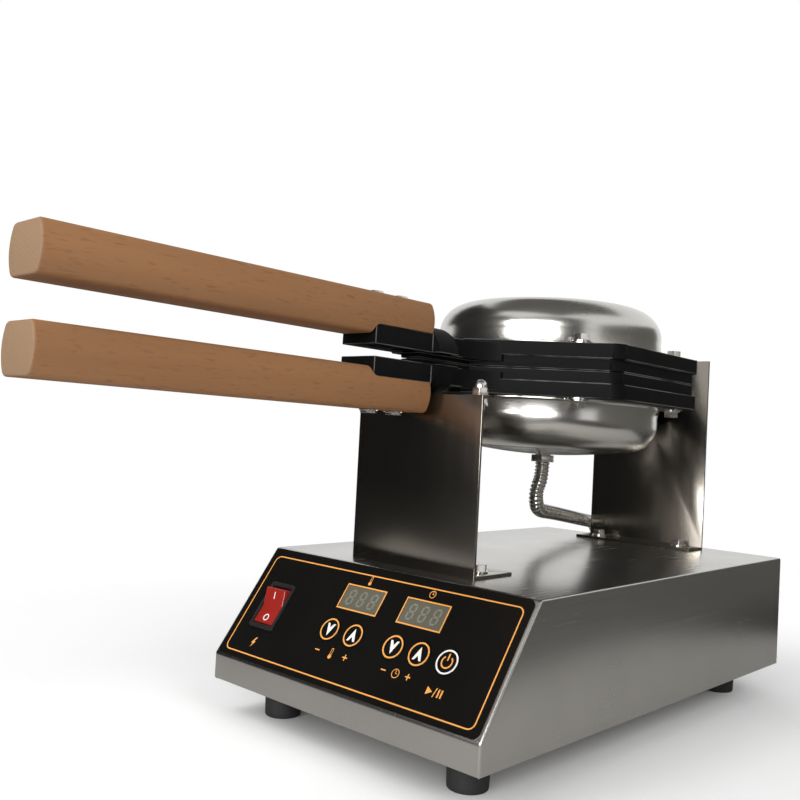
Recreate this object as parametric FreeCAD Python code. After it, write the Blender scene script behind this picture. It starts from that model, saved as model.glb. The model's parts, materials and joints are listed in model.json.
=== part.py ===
import FreeCAD, Part
import math
import os

V = FreeCAD.Vector

# Flip-type waffle iron: a sheet-steel base with a sloping control panel, two uprights, and a pair of
# hexagonal plates that roll together about a front-to-back axis and open about a pin at the rear.
# Millimetres, +Z up, handles towards -Y, feet on Z = 0, origin under the middle of the whole object.

# Base
BASE_WIDTH = 250.0
BASE_DEPTH = 422.0
BASE_HEIGHT = 92.5
NOSE_HEIGHT = 18.5
SLOPE_RUN = 53.0
SHEET = 1.5
BEND_RADIUS = 2.0
LIP = 14.0
SLIP = 0.3
FOOT_HEIGHT = 25.0
FOOT_DIAMETER = 28.0
FOOT_TAPER = 2.0
FOOT_INSET = 37.0
FOOT_BORE_RECESS = 5.0
VENT_COUNT = 5
VENT_LENGTH = 60.0
VENT_WIDTH = 5.0
VENT_PITCH = 14.0

# Fasteners
SCREW_DIAMETER = 4.0
SCREW_HEAD_DIAMETER = 7.0
SCREW_HEAD_HEIGHT = 2.2
SCREW_TAIL = 4.0
BOLT_DIAMETER = 6.0
BOLT_FLATS = 10.0
BOLT_HEAD = 4.5
LOW_HEAD = 1.6
NUT_HEIGHT = 5.0
WASHER_DIAMETER = 13.0
WASHER = 1.2
BOLT_FIT = 0.1
ACORN_DOME = 4.75

# Control panel, measured up the slope from its lower edge
OVERLAY_WIDTH = 244.0
OVERLAY_LOW = 1.0
OVERLAY_HIGH = 90.0
OVERLAY_THICK = 0.6
OVERLAY_CORNER = 4.5
DISPLAY_WIDTH = 36.0
DISPLAY_HEIGHT = 17.0
DISPLAY_B = 65.0
TEMPERATURE_DISPLAY_X = -12.0
TIME_DISPLAY_X = 45.0
DISPLAY_SINK = 0.3
KEY_DIAMETER = 17.0
KEY_B = 39.0
KEY_X = {
    "temperature_down_key": -25.5,
    "temperature_up_key": -2.5,
    "time_down_key": 34.4,
    "time_up_key": 56.8,
    "start_key": 79.8,
}
KEY_PROUD = 0.8
KEY_CAP = 2.6
KEY_STEM_DIAMETER = 5.0
KEY_GAP = 0.7
KEY_PLUNGER_DIAMETER = 3.4
KEY_PLUNGER = 1.0
KEY_SWITCH_SIDE = 6.0
KEY_SWITCH_HEIGHT = 3.4
SWITCH_X = -91.0
SWITCH_B = 44.0
SWITCH_WIDTH = 26.0
SWITCH_LENGTH = 37.0
SWITCH_FRAME = 2.0
SWITCH_WALL = 1.2
SWITCH_FLANGE = 2.0
SWITCH_DEPTH = 24.0
ROCKER_RADIUS = 14.9
ROCKER_GAP = 0.4
ROCKER_PIVOT = 3.0
ROCKER_VALLEY = 4.6
ROCKER_LIFT = 8.2
ROCKER_SOLE = 5.0
ROCKER_ANGLE = 11.0
ROCKER_TRUNNION = 3.0
PIN_FIT = 0.05
BOARD_THICK = 1.6
BOARD_DROP = 9.0
BOARD_LEFT = -45.0
BOARD_RIGHT = 104.0
BOARD_LOW = 20.0
BOARD_HIGH = 82.0
STANDOFF_DIAMETER = 6.0
STANDOFF_INSET = 5.0
RELAY_SIZE = (28.0, 22.0, 16.0)
RELAY_X = 20.0
RELAY_B = 50.0

# Supply parts on the floor and in the rear wall
TRANSFORMER_SIZE = (46.0, 40.0, 38.0)
TRANSFORMER_AT = (55.0, 30.0)
TERMINAL_SIZE = (70.0, 24.0, 20.0)
TERMINAL_AT = (-40.0, 110.0)
TERMINAL_WAYS = 6
GLAND_X = 70.0
GLAND_Z = 30.0
GLAND_DIAMETER = 18.0
GLAND_FLATS = 24.0
GLAND_FLANGE = 6.0
GLAND_LENGTH = 16.0
GLAND_BORE = 9.0

# Uprights
PLATE_SHEET = 2.0
FRONT_FACE_Y = -139.9
FRONT_WIDTH = 116.0
FRONT_FLANGE = 42.0
FRONT_TOP_FLANGE = 12.0
FRONT_BOLT_X = 46.0
FRONT_BOLT_SETBACK = 20.0
STUD_X = 50.0
STUD_SETBACK = 7.5
STUD_TAIL = 8.0
REAR_FACE_Y = 193.7
REAR_WIDTH = 118.2
REAR_HEIGHT = 174.8
REAR_FLANGE = 28.0
REAR_BOLT_X = 42.0
REAR_BOLT_SETBACK = 12.0

# Roll axis: its height over the base top at the rear upright, and its rise towards the front
AXIS_HEIGHT = 142.6
MOULD_PITCH = 0.8
SHAFT_DIAMETER = 16.0
SHAFT_BORE = 7.0
SHAFT_COLLAR_DIAMETER = 24.0
SHAFT_COLLAR = 4.0
SHAFT_END_DIAMETER = 12.0
SHAFT_END = 13.0
BUSH_DIAMETER = 24.0
BUSH_FLANGE_DIAMETER = 36.0
BUSH_FLANGE = 3.0
BUSH_TAIL = 8.0
PIVOT_NUT_FLATS = 19.0
PIVOT_NUT = 8.0
THRUST_GAP = 0.5

# Plates, measured from the roll axis outwards
MOULD_Y = 17.0
PLATE_APOTHEM = 105.0
PLATE_CORNER = 12.0
PLATE_RIM = 0.3
PLATE_STEP = 9.0
PLATE_STEP_IN = 2.5
PLATE_FACE = 19.8
TRAY_APOTHEM = 94.0
TRAY_DEPTH = 3.0
CELL_RINGS = 3
CELL_PITCH = 27.0
CELL_RADIUS = 11.5
LUG_HALF_WIDTH = 16.0
LUG_INNER = 4.0
LUG_OUTER = 17.1
LUG_END_Y = -201.0
LUG_FILLET = 30.0
JOURNAL_RADIUS = 23.7
NECK_GAP = 0.4
JOURNAL_FRONT = 5.5
JOURNAL_BACK = 2.5
NECK_RIB_HALF_WIDTH = 9.0
NECK_RIB_LENGTH = 46.0

# Opening hinge behind the plates
PIN_Y = 158.0
PIN_LIFT = 2.0
PIN_DIAMETER = 8.0
KNUCKLE_RADIUS = 7.0
KNUCKLE_HALF_WIDTH = 7.1
KNUCKLE_GAP = 0.4
YOKE_HALF_WIDTH = 15.0
YOKE_SLOT_BACK = 10.0
YOKE_BLOCK = 16.0
YOKE_BLOCK_HALF_HEIGHT = 12.0
YOKE_TONGUE = 6.0
YOKE_TONGUE_LENGTH = 30.0
YOKE_EAR_FRONT = 9.0
REAR_LUG_DROP = 6.0
YOKE_BOLT_Y = (133.0, 143.0)
YOKE_BOLT_DEPTH = 9.0

# Round covers over the heaters
COVER_SHEET = 1.2
COVER_RADIUS = 92.0
COVER_WALL_LEAN = 1.5
COVER_WALL_HEIGHT = 10.0
COVER_CROWN_RADIUS = 64.0
COVER_CROWN_HEIGHT = 37.5
COVER_HEIGHT = 43.0
COVER_RIM = 5.0
COVER_BOLT_RADIUS = 101.0
COVER_BOLT_ANGLES = (-42.0, 30.0, 150.0, 222.0)
COVER_TAB_RADIUS = 8.0
COVER_BOLT_DEPTH = 9.0
HEATER_RADIUS = 62.0
HEATER_TUBE = 8.0
HEATER_POST = 10.0
HEATER_GAP = 0.05
THERMOSTAT_DIAMETER = 17.0
THERMOSTAT_HEIGHT = 9.0

# Wooden handles
HANDLE_FRONT_Y = -427.0
HANDLE_REAR_Y = -146.5
HANDLE_OFFSET = 24.4
HANDLE_HEIGHT = 27.6
HANDLE_FLAT = 28.5
HANDLE_WIDTH = 37.0
HANDLE_EDGE = 1.5
HANDLE_BOLT_Y = (-188.0, -164.0)
HANDLE_BOLT_END = 2.0

# Ribbed conduit from the lower cover to the rear wall: route points from the base's middle and underside
HOSE_DIAMETER = 13.0
HOSE_ROOT = 11.2
HOSE_BORE = 8.8
HOSE_PITCH = 2.6
HOSE_ROUTE = (
    (-28.0, 58.0, 167.0),
    (-28.0, 57.8, 153.5),
    (-28.5, 51.5, 143.0),
    (-30.0, 53.5, 131.0),
    (-33.0, 63.0, 123.5),
    (-48.0, 101.0, 119.5),
    (-61.0, 150.0, 113.0),
    (-68.0, 191.0, 107.0),
)
ELBOW_X = -70.0
ELBOW_OUT = 15.0
ELBOW_INLET = 70.0
HOSE_LAST_DROP = 32.0
HOSE_LAST_RADIUS = 18.0
HOSE_SEAT_GAP = 0.15
FITTING_FLATS = 19.0
COLLAR_DIAMETER = 22.0
COLLAR_PROUD = 1.0
ELBOW_DIAMETER = 20.0
ELBOW_FLATS = 22.0
ELBOW_CAP = 8.0
ELBOW_DROP = 14.0
ELBOW_LOCK = 5.0
ELBOW_STUB_DIAMETER = 14.0

# Derived places
HALF_WIDTH = BASE_WIDTH / 2
FRONT_Y = -BASE_DEPTH / 2
BACK_Y = BASE_DEPTH / 2
BOTTOM_Z = FOOT_HEIGHT
TOP_Z = BOTTOM_Z + BASE_HEIGHT
NOSE_Z = BOTTOM_Z + NOSE_HEIGHT
FLOOR_Z = BOTTOM_Z + SHEET
SLOPE_RISE = BASE_HEIGHT - NOSE_HEIGHT
SLOPE_ANGLE = math.degrees(math.atan2(SLOPE_RISE, SLOPE_RUN))
AXIS_Z = TOP_Z + AXIS_HEIGHT
JOURNAL_SPAN = (FRONT_FACE_Y - JOURNAL_FRONT, FRONT_FACE_Y + FRONT_TOP_FLANGE + JOURNAL_BACK)
COVER_BASE = PLATE_FACE
ELBOW_Y = BACK_Y + ELBOW_OUT
BACK_END_Y = ELBOW_Y + ELBOW_DIAMETER / 2
LENGTH_CENTRE_Y = (HANDLE_FRONT_Y + BACK_END_Y) / 2
PANEL_PLACE = FreeCAD.Placement(V(0, FRONT_Y, NOSE_Z), FreeCAD.Rotation(V(1, 0, 0), SLOPE_ANGLE))
ROLL_PLACE = FreeCAD.Placement(V(0, REAR_FACE_Y, AXIS_Z), FreeCAD.Rotation(V(1, 0, 0), -MOULD_PITCH))
MOULD_PLACE = ROLL_PLACE.multiply(FreeCAD.Placement(V(0, -REAR_FACE_Y, 0), FreeCAD.Rotation()))
NECK_LOW = MOULD_PLACE.multVec(V(0, JOURNAL_SPAN[1], -JOURNAL_RADIUS))
FRONT_TOP_Z = NECK_LOW.z - NECK_GAP


def placed(shape, placement):
    """The shape carried from its own frame into the object's frame."""
    moved = shape.copy()
    moved.Placement = placement.multiply(moved.Placement)
    return moved


def on_panel(shape):
    return placed(shape, PANEL_PLACE)


def on_mould(shape):
    return placed(shape, MOULD_PLACE)


def turned_over(shape):
    """The same piece on the lower half: half a turn about the roll axis."""
    moved = shape.copy()
    moved.rotate(V(0, 0, 0), V(0, 1, 0), 180)
    return moved


def save(name, shape):
    """Write one piece, moved so that the origin lies under the middle of the whole object."""
    moved = shape.copy()
    moved.translate(V(0, -LENGTH_CENTRE_Y, 0))
    moved.exportStep("parts/%s.step" % name)


def block(x0, x1, y0, y1, z0, z1):
    return Part.makeBox(x1 - x0, y1 - y0, z1 - z0, V(x0, y0, z0))


def rod(diameter, start, end):
    start = V(*start)
    run = V(*end) - start
    return Part.makeCylinder(diameter / 2, run.Length, start, run)


def hexagon(flats, start, end):
    """A six-sided prism between two points."""
    start = V(*start)
    run = V(*end) - start
    side = flats / math.sqrt(3)
    corners = []
    for step in range(7):
        angle = math.radians(60 * step)
        corners.append(V(side * math.cos(angle), side * math.sin(angle), 0))
    prism = Part.Face(Part.makePolygon(corners)).extrude(V(0, 0, run.Length))
    return placed(prism, FreeCAD.Placement(start, FreeCAD.Rotation(V(0, 0, 1), run)))


def flat_sheet(points, base_z, height):
    """A prism over a closed outline in the XY plane."""
    outline = [V(x, y, base_z) for x, y in points]
    return Part.Face(Part.makePolygon(outline + outline[:1])).extrude(V(0, 0, height))


def side_sheet(points, x0, x1):
    """A prism along X over a closed outline in the YZ plane."""
    outline = [V(x0, y, z) for y, z in points]
    return Part.Face(Part.makePolygon(outline + outline[:1])).extrude(V(x1 - x0, 0, 0))


def rounded_plate(width, length, thick, corner):
    """A centred plate with rounded corners, standing on Z = 0."""
    plate = block(-width / 2, width / 2, -length / 2, length / 2, 0, thick)
    uprights = [e for e in plate.Edges if abs(e.Vertexes[0].Z - e.Vertexes[-1].Z) > thick / 2]
    return plate.makeFillet(corner, uprights)


def hex_bolt(head_at, way, grip, nut_at=None, head=BOLT_HEAD):
    """A hexagon bolt with its washer, head seated at head_at, its shank going along way."""
    seat = V(*head_at)
    way = V(*way)
    under = seat - way * WASHER
    top = under - way * head
    bolt = hexagon(BOLT_FLATS, top, under)
    bolt = bolt.fuse(rod(WASHER_DIAMETER, under, seat))
    bolt = bolt.fuse(rod(BOLT_DIAMETER, seat - way * WASHER, seat + way * grip))
    if nut_at is not None:
        start = seat + way * nut_at
        bolt = bolt.fuse(hexagon(BOLT_FLATS, start, start + way * NUT_HEIGHT))
    return bolt.removeSplitter()


def bolt_hole(start, end):
    return rod(BOLT_DIAMETER + 2 * BOLT_FIT, start, end)


def cut_all(shape, tools):
    return shape.cut(Part.makeCompound(tools))


def fuse_all(shapes):
    return shapes[0].multiFuse(shapes[1:]).removeSplitter()


# Base housing, floor and rear wall
def slope_profile(inset):
    """Side outline of the base, drawn in by the sheet's thickness where inset is not zero."""
    angle = math.radians(SLOPE_ANGLE)
    start_y = FRONT_Y + inset * math.sin(angle)
    start_z = NOSE_Z - inset * math.cos(angle)
    nose_z = start_z + (FRONT_Y + inset - start_y) * math.tan(angle)
    brow_y = start_y + (TOP_Z - inset - start_z) / math.tan(angle)
    back_y = BACK_Y - 2 * inset
    return (
        (FRONT_Y + inset, BOTTOM_Z + inset),
        (FRONT_Y + inset, nose_z),
        (brow_y, TOP_Z - inset),
        (back_y, TOP_Z - inset),
        (back_y, BOTTOM_Z + inset),
    )


def floor_screw_places():
    reach = HALF_WIDTH - LIP / 2
    rows = (FRONT_Y + FOOT_INSET, 0, BACK_Y - FOOT_INSET)
    return [(side * reach, y) for side in (-1, 1) for y in rows]


def wall_screw_places():
    reach = HALF_WIDTH - LIP / 2
    rows = (BOTTOM_Z + BASE_HEIGHT / 4, TOP_Z - BASE_HEIGHT / 4)
    return [(side * reach, z) for side in (-1, 1) for z in rows]


def foot_places():
    reach = HALF_WIDTH - FOOT_INSET
    return [(sx * reach, sy * (BACK_Y - FOOT_INSET)) for sx in (-1, 1) for sy in (-1, 1)]


def upright_bolt_places():
    front_y = FRONT_FACE_Y + FRONT_BOLT_SETBACK
    rear_y = REAR_FACE_Y - REAR_BOLT_SETBACK
    front = [(side * FRONT_BOLT_X, front_y) for side in (-1, 1)]
    return front + [(side * REAR_BOLT_X, rear_y) for side in (-1, 1)]


def panel_cutters(clear):
    """Tools for the switch, the two windows and the five keys, in the panel's frame."""
    low = -SHEET - 1
    high = OVERLAY_THICK + 1
    half_x = SWITCH_WIDTH / 2 - SWITCH_WALL / 2 + clear - SLIP
    half_b = SWITCH_LENGTH / 2 - SWITCH_FLANGE + clear
    tools = [block(SWITCH_X - half_x, SWITCH_X + half_x, SWITCH_B - half_b, SWITCH_B + half_b, low, high)]
    for x in (TEMPERATURE_DISPLAY_X, TIME_DISPLAY_X):
        half_x = DISPLAY_WIDTH / 2 + clear
        half_b = DISPLAY_HEIGHT / 2 + clear
        tools.append(block(x - half_x, x + half_x, DISPLAY_B - half_b, DISPLAY_B + half_b, low, high))
    for x in KEY_X.values():
        tools.append(rod(KEY_DIAMETER + 2 * clear, (x, KEY_B, low), (x, KEY_B, high)))
    return tools


def base_housing():
    body = side_sheet(slope_profile(0), -HALF_WIDTH, HALF_WIDTH)
    top_edges = [e for e in body.Edges if abs(abs(e.CenterOfMass.x) - HALF_WIDTH) < 0.01
                 and abs(e.CenterOfMass.z - TOP_Z) < 0.01]
    body = body.makeFillet(BEND_RADIUS, top_edges)
    inner = HALF_WIDTH - SHEET
    mouth = HALF_WIDTH - LIP
    tools = [
        side_sheet(slope_profile(SHEET), -inner, inner),
        block(-mouth, mouth, FRONT_Y + LIP, BACK_Y - LIP, BOTTOM_Z - 1, FLOOR_Z + 1),
        block(-inner, inner, BACK_Y - SHEET, BACK_Y + 1, BOTTOM_Z - 1, TOP_Z - SHEET),
        block(-mouth, mouth, BACK_Y - 3 * SHEET, BACK_Y, BOTTOM_Z + LIP, TOP_Z - LIP),
    ]
    tools += [on_panel(tool) for tool in panel_cutters(SLIP)]
    hole = SCREW_DIAMETER + 2 * BOLT_FIT
    tools += [rod(hole, (x, y, BOTTOM_Z - 1), (x, y, FLOOR_Z + 1)) for x, y in floor_screw_places()]
    tools += [rod(hole, (x, BACK_Y - 3 * SHEET, z), (x, BACK_Y, z)) for x, z in wall_screw_places()]
    tools += [bolt_hole((x, y, TOP_Z - 2 * SHEET), (x, y, TOP_Z + 1)) for x, y in upright_bolt_places()]
    return cut_all(body, tools)


def base_floor():
    inner = HALF_WIDTH - SHEET - SLIP
    top = FLOOR_Z + SHEET
    floor = block(-inner, inner, FRONT_Y + SHEET + SLIP, BACK_Y - 2 * SHEET - SLIP, FLOOR_Z, top)
    hole = SCREW_DIAMETER + 2 * BOLT_FIT
    tools = [rod(hole, (x, y, FLOOR_Z - 1), (x, y, top + 1)) for x, y in floor_screw_places()]
    tools += [rod(hole, (x, y, FLOOR_Z - 1), (x, y, top + 1)) for x, y in foot_places()]
    for step in range(VENT_COUNT):
        y = (step - (VENT_COUNT - 1) / 2) * VENT_PITCH - BASE_DEPTH / 8
        tools.append(block(-VENT_LENGTH / 2, VENT_LENGTH / 2, y - VENT_WIDTH / 2, y + VENT_WIDTH / 2,
                           FLOOR_Z - 1, top + 1))
    return cut_all(floor, tools)


def elbow_z():
    return BOTTOM_Z + ELBOW_INLET - ELBOW_DROP


def rear_panel():
    inner = HALF_WIDTH - SHEET - SLIP
    wall = block(-inner, inner, BACK_Y - SHEET, BACK_Y, BOTTOM_Z + SLIP, TOP_Z - SHEET - SLIP)
    front = BACK_Y - SHEET - 1
    hole = SCREW_DIAMETER + 2 * BOLT_FIT
    tools = [rod(hole, (x, front, z), (x, BACK_Y + 1, z)) for x, z in wall_screw_places()]
    gland_z = BOTTOM_Z + GLAND_Z
    gland_hole = GLAND_DIAMETER + 2 * BOLT_FIT
    tools.append(rod(gland_hole, (GLAND_X, front, gland_z), (GLAND_X, BACK_Y + 1, gland_z)))
    elbow_x = ELBOW_X
    stub = ELBOW_STUB_DIAMETER + 2 * BOLT_FIT
    tools.append(rod(stub, (elbow_x, front, elbow_z()), (elbow_x, BACK_Y + 1, elbow_z())))
    return cut_all(wall, tools)


def pan_screw(seat, way, grip):
    seat = V(*seat)
    way = V(*way)
    head = rod(SCREW_HEAD_DIAMETER, seat - way * SCREW_HEAD_HEIGHT, seat)
    shank = rod(SCREW_DIAMETER, seat - way * SCREW_HEAD_HEIGHT / 2, seat + way * grip)
    return head.fuse(shank).removeSplitter()


def housing_screws():
    grip = 2 * SHEET + SCREW_TAIL
    screws = [pan_screw((x, y, BOTTOM_Z), (0, 0, 1), grip) for x, y in floor_screw_places()]
    screws += [pan_screw((x, BACK_Y, z), (0, -1, 0), grip) for x, z in wall_screw_places()]
    return Part.makeCompound(screws)


def rubber_feet():
    feet = []
    for x, y in foot_places():
        foot = Part.makeCone(FOOT_DIAMETER / 2 - FOOT_TAPER / 2, FOOT_DIAMETER / 2, FLOOR_Z, V(x, y, 0))
        recess = SCREW_HEAD_DIAMETER + 2
        foot = foot.cut(rod(recess, (x, y, -1), (x, y, FOOT_BORE_RECESS)))
        foot = foot.cut(rod(SCREW_DIAMETER + 2 * BOLT_FIT, (x, y, 0), (x, y, FLOOR_Z + 1)))
        feet.append(foot)
    return Part.makeCompound(feet)


def foot_screws():
    screws = []
    floor_top = FLOOR_Z + SHEET
    for x, y in foot_places():
        screw = pan_screw((x, y, FOOT_BORE_RECESS), (0, 0, 1), floor_top - FOOT_BORE_RECESS + SCREW_TAIL)
        nut = hexagon(SCREW_HEAD_DIAMETER, (x, y, floor_top), (x, y, floor_top + SCREW_TAIL))
        screws.append(screw.fuse(nut).removeSplitter())
    return Part.makeCompound(screws)


# Control panel
def control_overlay():
    width = OVERLAY_WIDTH
    length = OVERLAY_HIGH - OVERLAY_LOW
    sheet = rounded_plate(width, length, OVERLAY_THICK, OVERLAY_CORNER)
    sheet.translate(V(0, (OVERLAY_HIGH + OVERLAY_LOW) / 2, 0))
    return on_panel(cut_all(sheet, panel_cutters(SLIP)))


def switch_cavity():
    """Half width and half length of the well that the rocker swings in."""
    return (SWITCH_WIDTH / 2 - SWITCH_FRAME, ROCKER_RADIUS + ROCKER_GAP)


def switch_bezel():
    well_x, well_b = switch_cavity()
    seat = OVERLAY_THICK
    frame = rounded_plate(SWITCH_WIDTH, SWITCH_LENGTH, SWITCH_FLANGE, SWITCH_FLANGE)
    frame.translate(V(0, 0, seat))
    half_x = SWITCH_WIDTH / 2 - SWITCH_WALL / 2 - SLIP
    half_b = SWITCH_LENGTH / 2 - SWITCH_FLANGE
    body = block(-half_x, half_x, -half_b, half_b, -SWITCH_DEPTH, seat)
    sole = -ROCKER_PIVOT - ROCKER_RADIUS + ROCKER_SOLE / 2
    well = block(-well_x, well_x, -well_b, well_b, sole, seat + SWITCH_FLANGE + 1)
    pivot_hole = rod(ROCKER_TRUNNION + 2 * PIN_FIT, (-half_x, 0, -ROCKER_PIVOT), (half_x, 0, -ROCKER_PIVOT))
    shape = cut_all(frame.fuse(body), [well, pivot_hole]).removeSplitter()
    shape.translate(V(SWITCH_X, SWITCH_B, 0))
    return on_panel(shape)


def power_rocker():
    well_x, well_b = switch_cavity()
    half_x = well_x - ROCKER_GAP
    reach = ROCKER_RADIUS + 1
    drum = rod(2 * ROCKER_RADIUS, (-half_x, 0, 0), (half_x, 0, 0))
    outline = (
        (-reach, -ROCKER_SOLE),
        (reach, -ROCKER_SOLE),
        (reach, ROCKER_LIFT),
        (0, ROCKER_VALLEY),
        (-reach, ROCKER_LIFT),
    )
    rocker = drum.common(side_sheet(outline, -half_x, half_x))
    end = half_x + ROCKER_GAP + SWITCH_WALL / 2
    rocker = rocker.fuse(rod(ROCKER_TRUNNION, (-end, 0, 0), (end, 0, 0))).removeSplitter()
    rocker.rotate(V(0, 0, 0), V(1, 0, 0), ROCKER_ANGLE)
    rocker.translate(V(SWITCH_X, SWITCH_B, -ROCKER_PIVOT))
    return on_panel(rocker)


def key_tip():
    """Height of a key's stem tip over the panel, a hair clear of its switch's plunger."""
    return -BOARD_DROP + KEY_SWITCH_HEIGHT + KEY_PLUNGER + KEY_GAP


def key(x):
    under = OVERLAY_THICK + KEY_PROUD - KEY_CAP
    cap = rod(KEY_DIAMETER, (x, KEY_B, under), (x, KEY_B, OVERLAY_THICK + KEY_PROUD))
    stem = rod(KEY_STEM_DIAMETER, (x, KEY_B, key_tip()), (x, KEY_B, under))
    return on_panel(cap.fuse(stem).removeSplitter())


def display(x):
    half_x = DISPLAY_WIDTH / 2
    half_b = DISPLAY_HEIGHT / 2
    top = OVERLAY_THICK - DISPLAY_SINK
    return on_panel(block(x - half_x, x + half_x, DISPLAY_B - half_b, DISPLAY_B + half_b, -BOARD_DROP, top))


def standoff_places():
    columns = (BOARD_LEFT + STANDOFF_INSET, BOARD_RIGHT - STANDOFF_INSET)
    rows = (BOARD_LOW + STANDOFF_INSET, BOARD_HIGH - STANDOFF_INSET)
    return [(x, b) for x in columns for b in rows]


def control_board():
    board = block(BOARD_LEFT, BOARD_RIGHT, BOARD_LOW, BOARD_HIGH, -BOARD_DROP - BOARD_THICK, -BOARD_DROP)
    hole = SCREW_DIAMETER + 2 * BOLT_FIT
    low = -BOARD_DROP - BOARD_THICK - 1
    return on_panel(cut_all(board, [rod(hole, (x, b, low), (x, b, 0)) for x, b in standoff_places()]))


def key_switches():
    switches = []
    half = KEY_SWITCH_SIDE / 2
    for x in KEY_X.values():
        top = -BOARD_DROP + KEY_SWITCH_HEIGHT
        body = block(x - half, x + half, KEY_B - half, KEY_B + half, -BOARD_DROP, top)
        plunger = rod(KEY_PLUNGER_DIAMETER, (x, KEY_B, top - 1), (x, KEY_B, top + KEY_PLUNGER))
        switches.append(body.fuse(plunger).removeSplitter())
    return on_panel(Part.makeCompound(switches))


def board_standoffs():
    posts = []
    for x, b in standoff_places():
        post = rod(STANDOFF_DIAMETER, (x, b, -BOARD_DROP), (x, b, -SHEET))
        under = -BOARD_DROP - BOARD_THICK
        screw = pan_screw((x, b, under), (0, 0, 1), BOARD_THICK + SCREW_TAIL / 2)
        posts.append(post.fuse(screw).removeSplitter())
    return on_panel(Part.makeCompound(posts))


def power_relay():
    size_x, size_b, height = RELAY_SIZE
    top = -BOARD_DROP - BOARD_THICK
    case = block(RELAY_X - size_x / 2, RELAY_X + size_x / 2, RELAY_B - size_b / 2, RELAY_B + size_b / 2,
                 top - height, top)
    lower = [e for e in case.Edges if abs(e.CenterOfMass.z - top + height) < 0.01]
    return on_panel(case.makeChamfer(1, lower))


# Supply parts
def transformer():
    size_x, size_y, size_z = TRANSFORMER_SIZE
    x, y = TRANSFORMER_AT
    base = FLOOR_Z + SHEET
    core = block(x - size_x / 2, x + size_x / 2, y - size_y / 2, y + size_y / 2, base, base + size_z)
    coil_x = size_x * 0.3
    coil = block(x - coil_x, x + coil_x, y - size_y * 0.7, y + size_y * 0.7, base + size_z * 0.2,
                 base + size_z * 0.8)
    foot = block(x - size_x * 0.8, x + size_x * 0.8, y - size_y / 4, y + size_y / 4, base, base + SHEET)
    return fuse_all([core, coil, foot])


def terminal_block():
    size_x, size_y, size_z = TERMINAL_SIZE
    x, y = TERMINAL_AT
    base = FLOOR_Z + SHEET
    body = block(x - size_x / 2, x + size_x / 2, y - size_y / 2, y + size_y / 2, base, base + size_z)
    pitch = size_x / TERMINAL_WAYS
    wells = []
    for way in range(TERMINAL_WAYS):
        way_x = x - size_x / 2 + (way + 0.5) * pitch
        for side in (-1, 1):
            way_y = y + side * size_y / 4
            well = rod(pitch * 0.6, (way_x, way_y, base + size_z / 2), (way_x, way_y, base + size_z + 1))
            wells.append(well)
    return cut_all(body, wells)


def cord_gland():
    z = BOTTOM_Z + GLAND_Z
    inside = BACK_Y - SHEET - GLAND_FLANGE
    end = BACK_Y + GLAND_LENGTH
    shape = fuse_all([
        hexagon(GLAND_FLATS, (GLAND_X, BACK_Y, z), (GLAND_X, BACK_Y + GLAND_FLANGE, z)),
        rod(GLAND_DIAMETER, (GLAND_X, inside, z), (GLAND_X, end, z)),
        hexagon(GLAND_FLATS, (GLAND_X, inside, z), (GLAND_X, BACK_Y - SHEET, z)),
    ])
    return shape.cut(rod(GLAND_BORE, (GLAND_X, inside - 1, z), (GLAND_X, end + 1, z)))


# Uprights and pivot
def front_upright():
    half = FRONT_WIDTH / 2
    back = FRONT_FACE_Y + PLATE_SHEET
    top_under = FRONT_TOP_Z - PLATE_SHEET
    shape = fuse_all([
        block(-half, half, FRONT_FACE_Y, back, TOP_Z, FRONT_TOP_Z),
        block(-half, half, FRONT_FACE_Y, FRONT_FACE_Y + FRONT_FLANGE, TOP_Z, TOP_Z + PLATE_SHEET),
        block(-half, half, FRONT_FACE_Y, FRONT_FACE_Y + FRONT_TOP_FLANGE, top_under, FRONT_TOP_Z),
    ])
    tools = [bolt_hole((x, y, TOP_Z - 1), (x, y, TOP_Z + PLATE_SHEET + 1))
             for x, y in upright_bolt_places() if y < 0]
    tools += [bolt_hole((x, y, top_under - 1), (x, y, FRONT_TOP_Z + 1)) for x, y in stud_places()]
    return cut_all(shape, tools)


def rear_upright():
    half = REAR_WIDTH / 2
    back = REAR_FACE_Y + PLATE_SHEET
    shape = fuse_all([
        block(-half, half, REAR_FACE_Y, back, TOP_Z, TOP_Z + REAR_HEIGHT),
        block(-half, half, back - REAR_FLANGE, back, TOP_Z, TOP_Z + PLATE_SHEET),
    ])
    tools = [rod(BUSH_DIAMETER + 2 * BOLT_FIT, (0, REAR_FACE_Y - 1, AXIS_Z), (0, back + 1, AXIS_Z))]
    tools += [bolt_hole((x, y, TOP_Z - 1), (x, y, TOP_Z + PLATE_SHEET + 1))
              for x, y in upright_bolt_places() if y > 0]
    return cut_all(shape, tools)


def upright_bolts():
    grip = PLATE_SHEET + SHEET + NUT_HEIGHT + 1
    seat = TOP_Z + PLATE_SHEET
    return Part.makeCompound([hex_bolt((x, y, seat), (0, 0, -1), grip, PLATE_SHEET + SHEET)
                              for x, y in upright_bolt_places()])


def stud_places():
    return [(side * STUD_X, FRONT_FACE_Y + STUD_SETBACK) for side in (-1, 1)]


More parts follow.
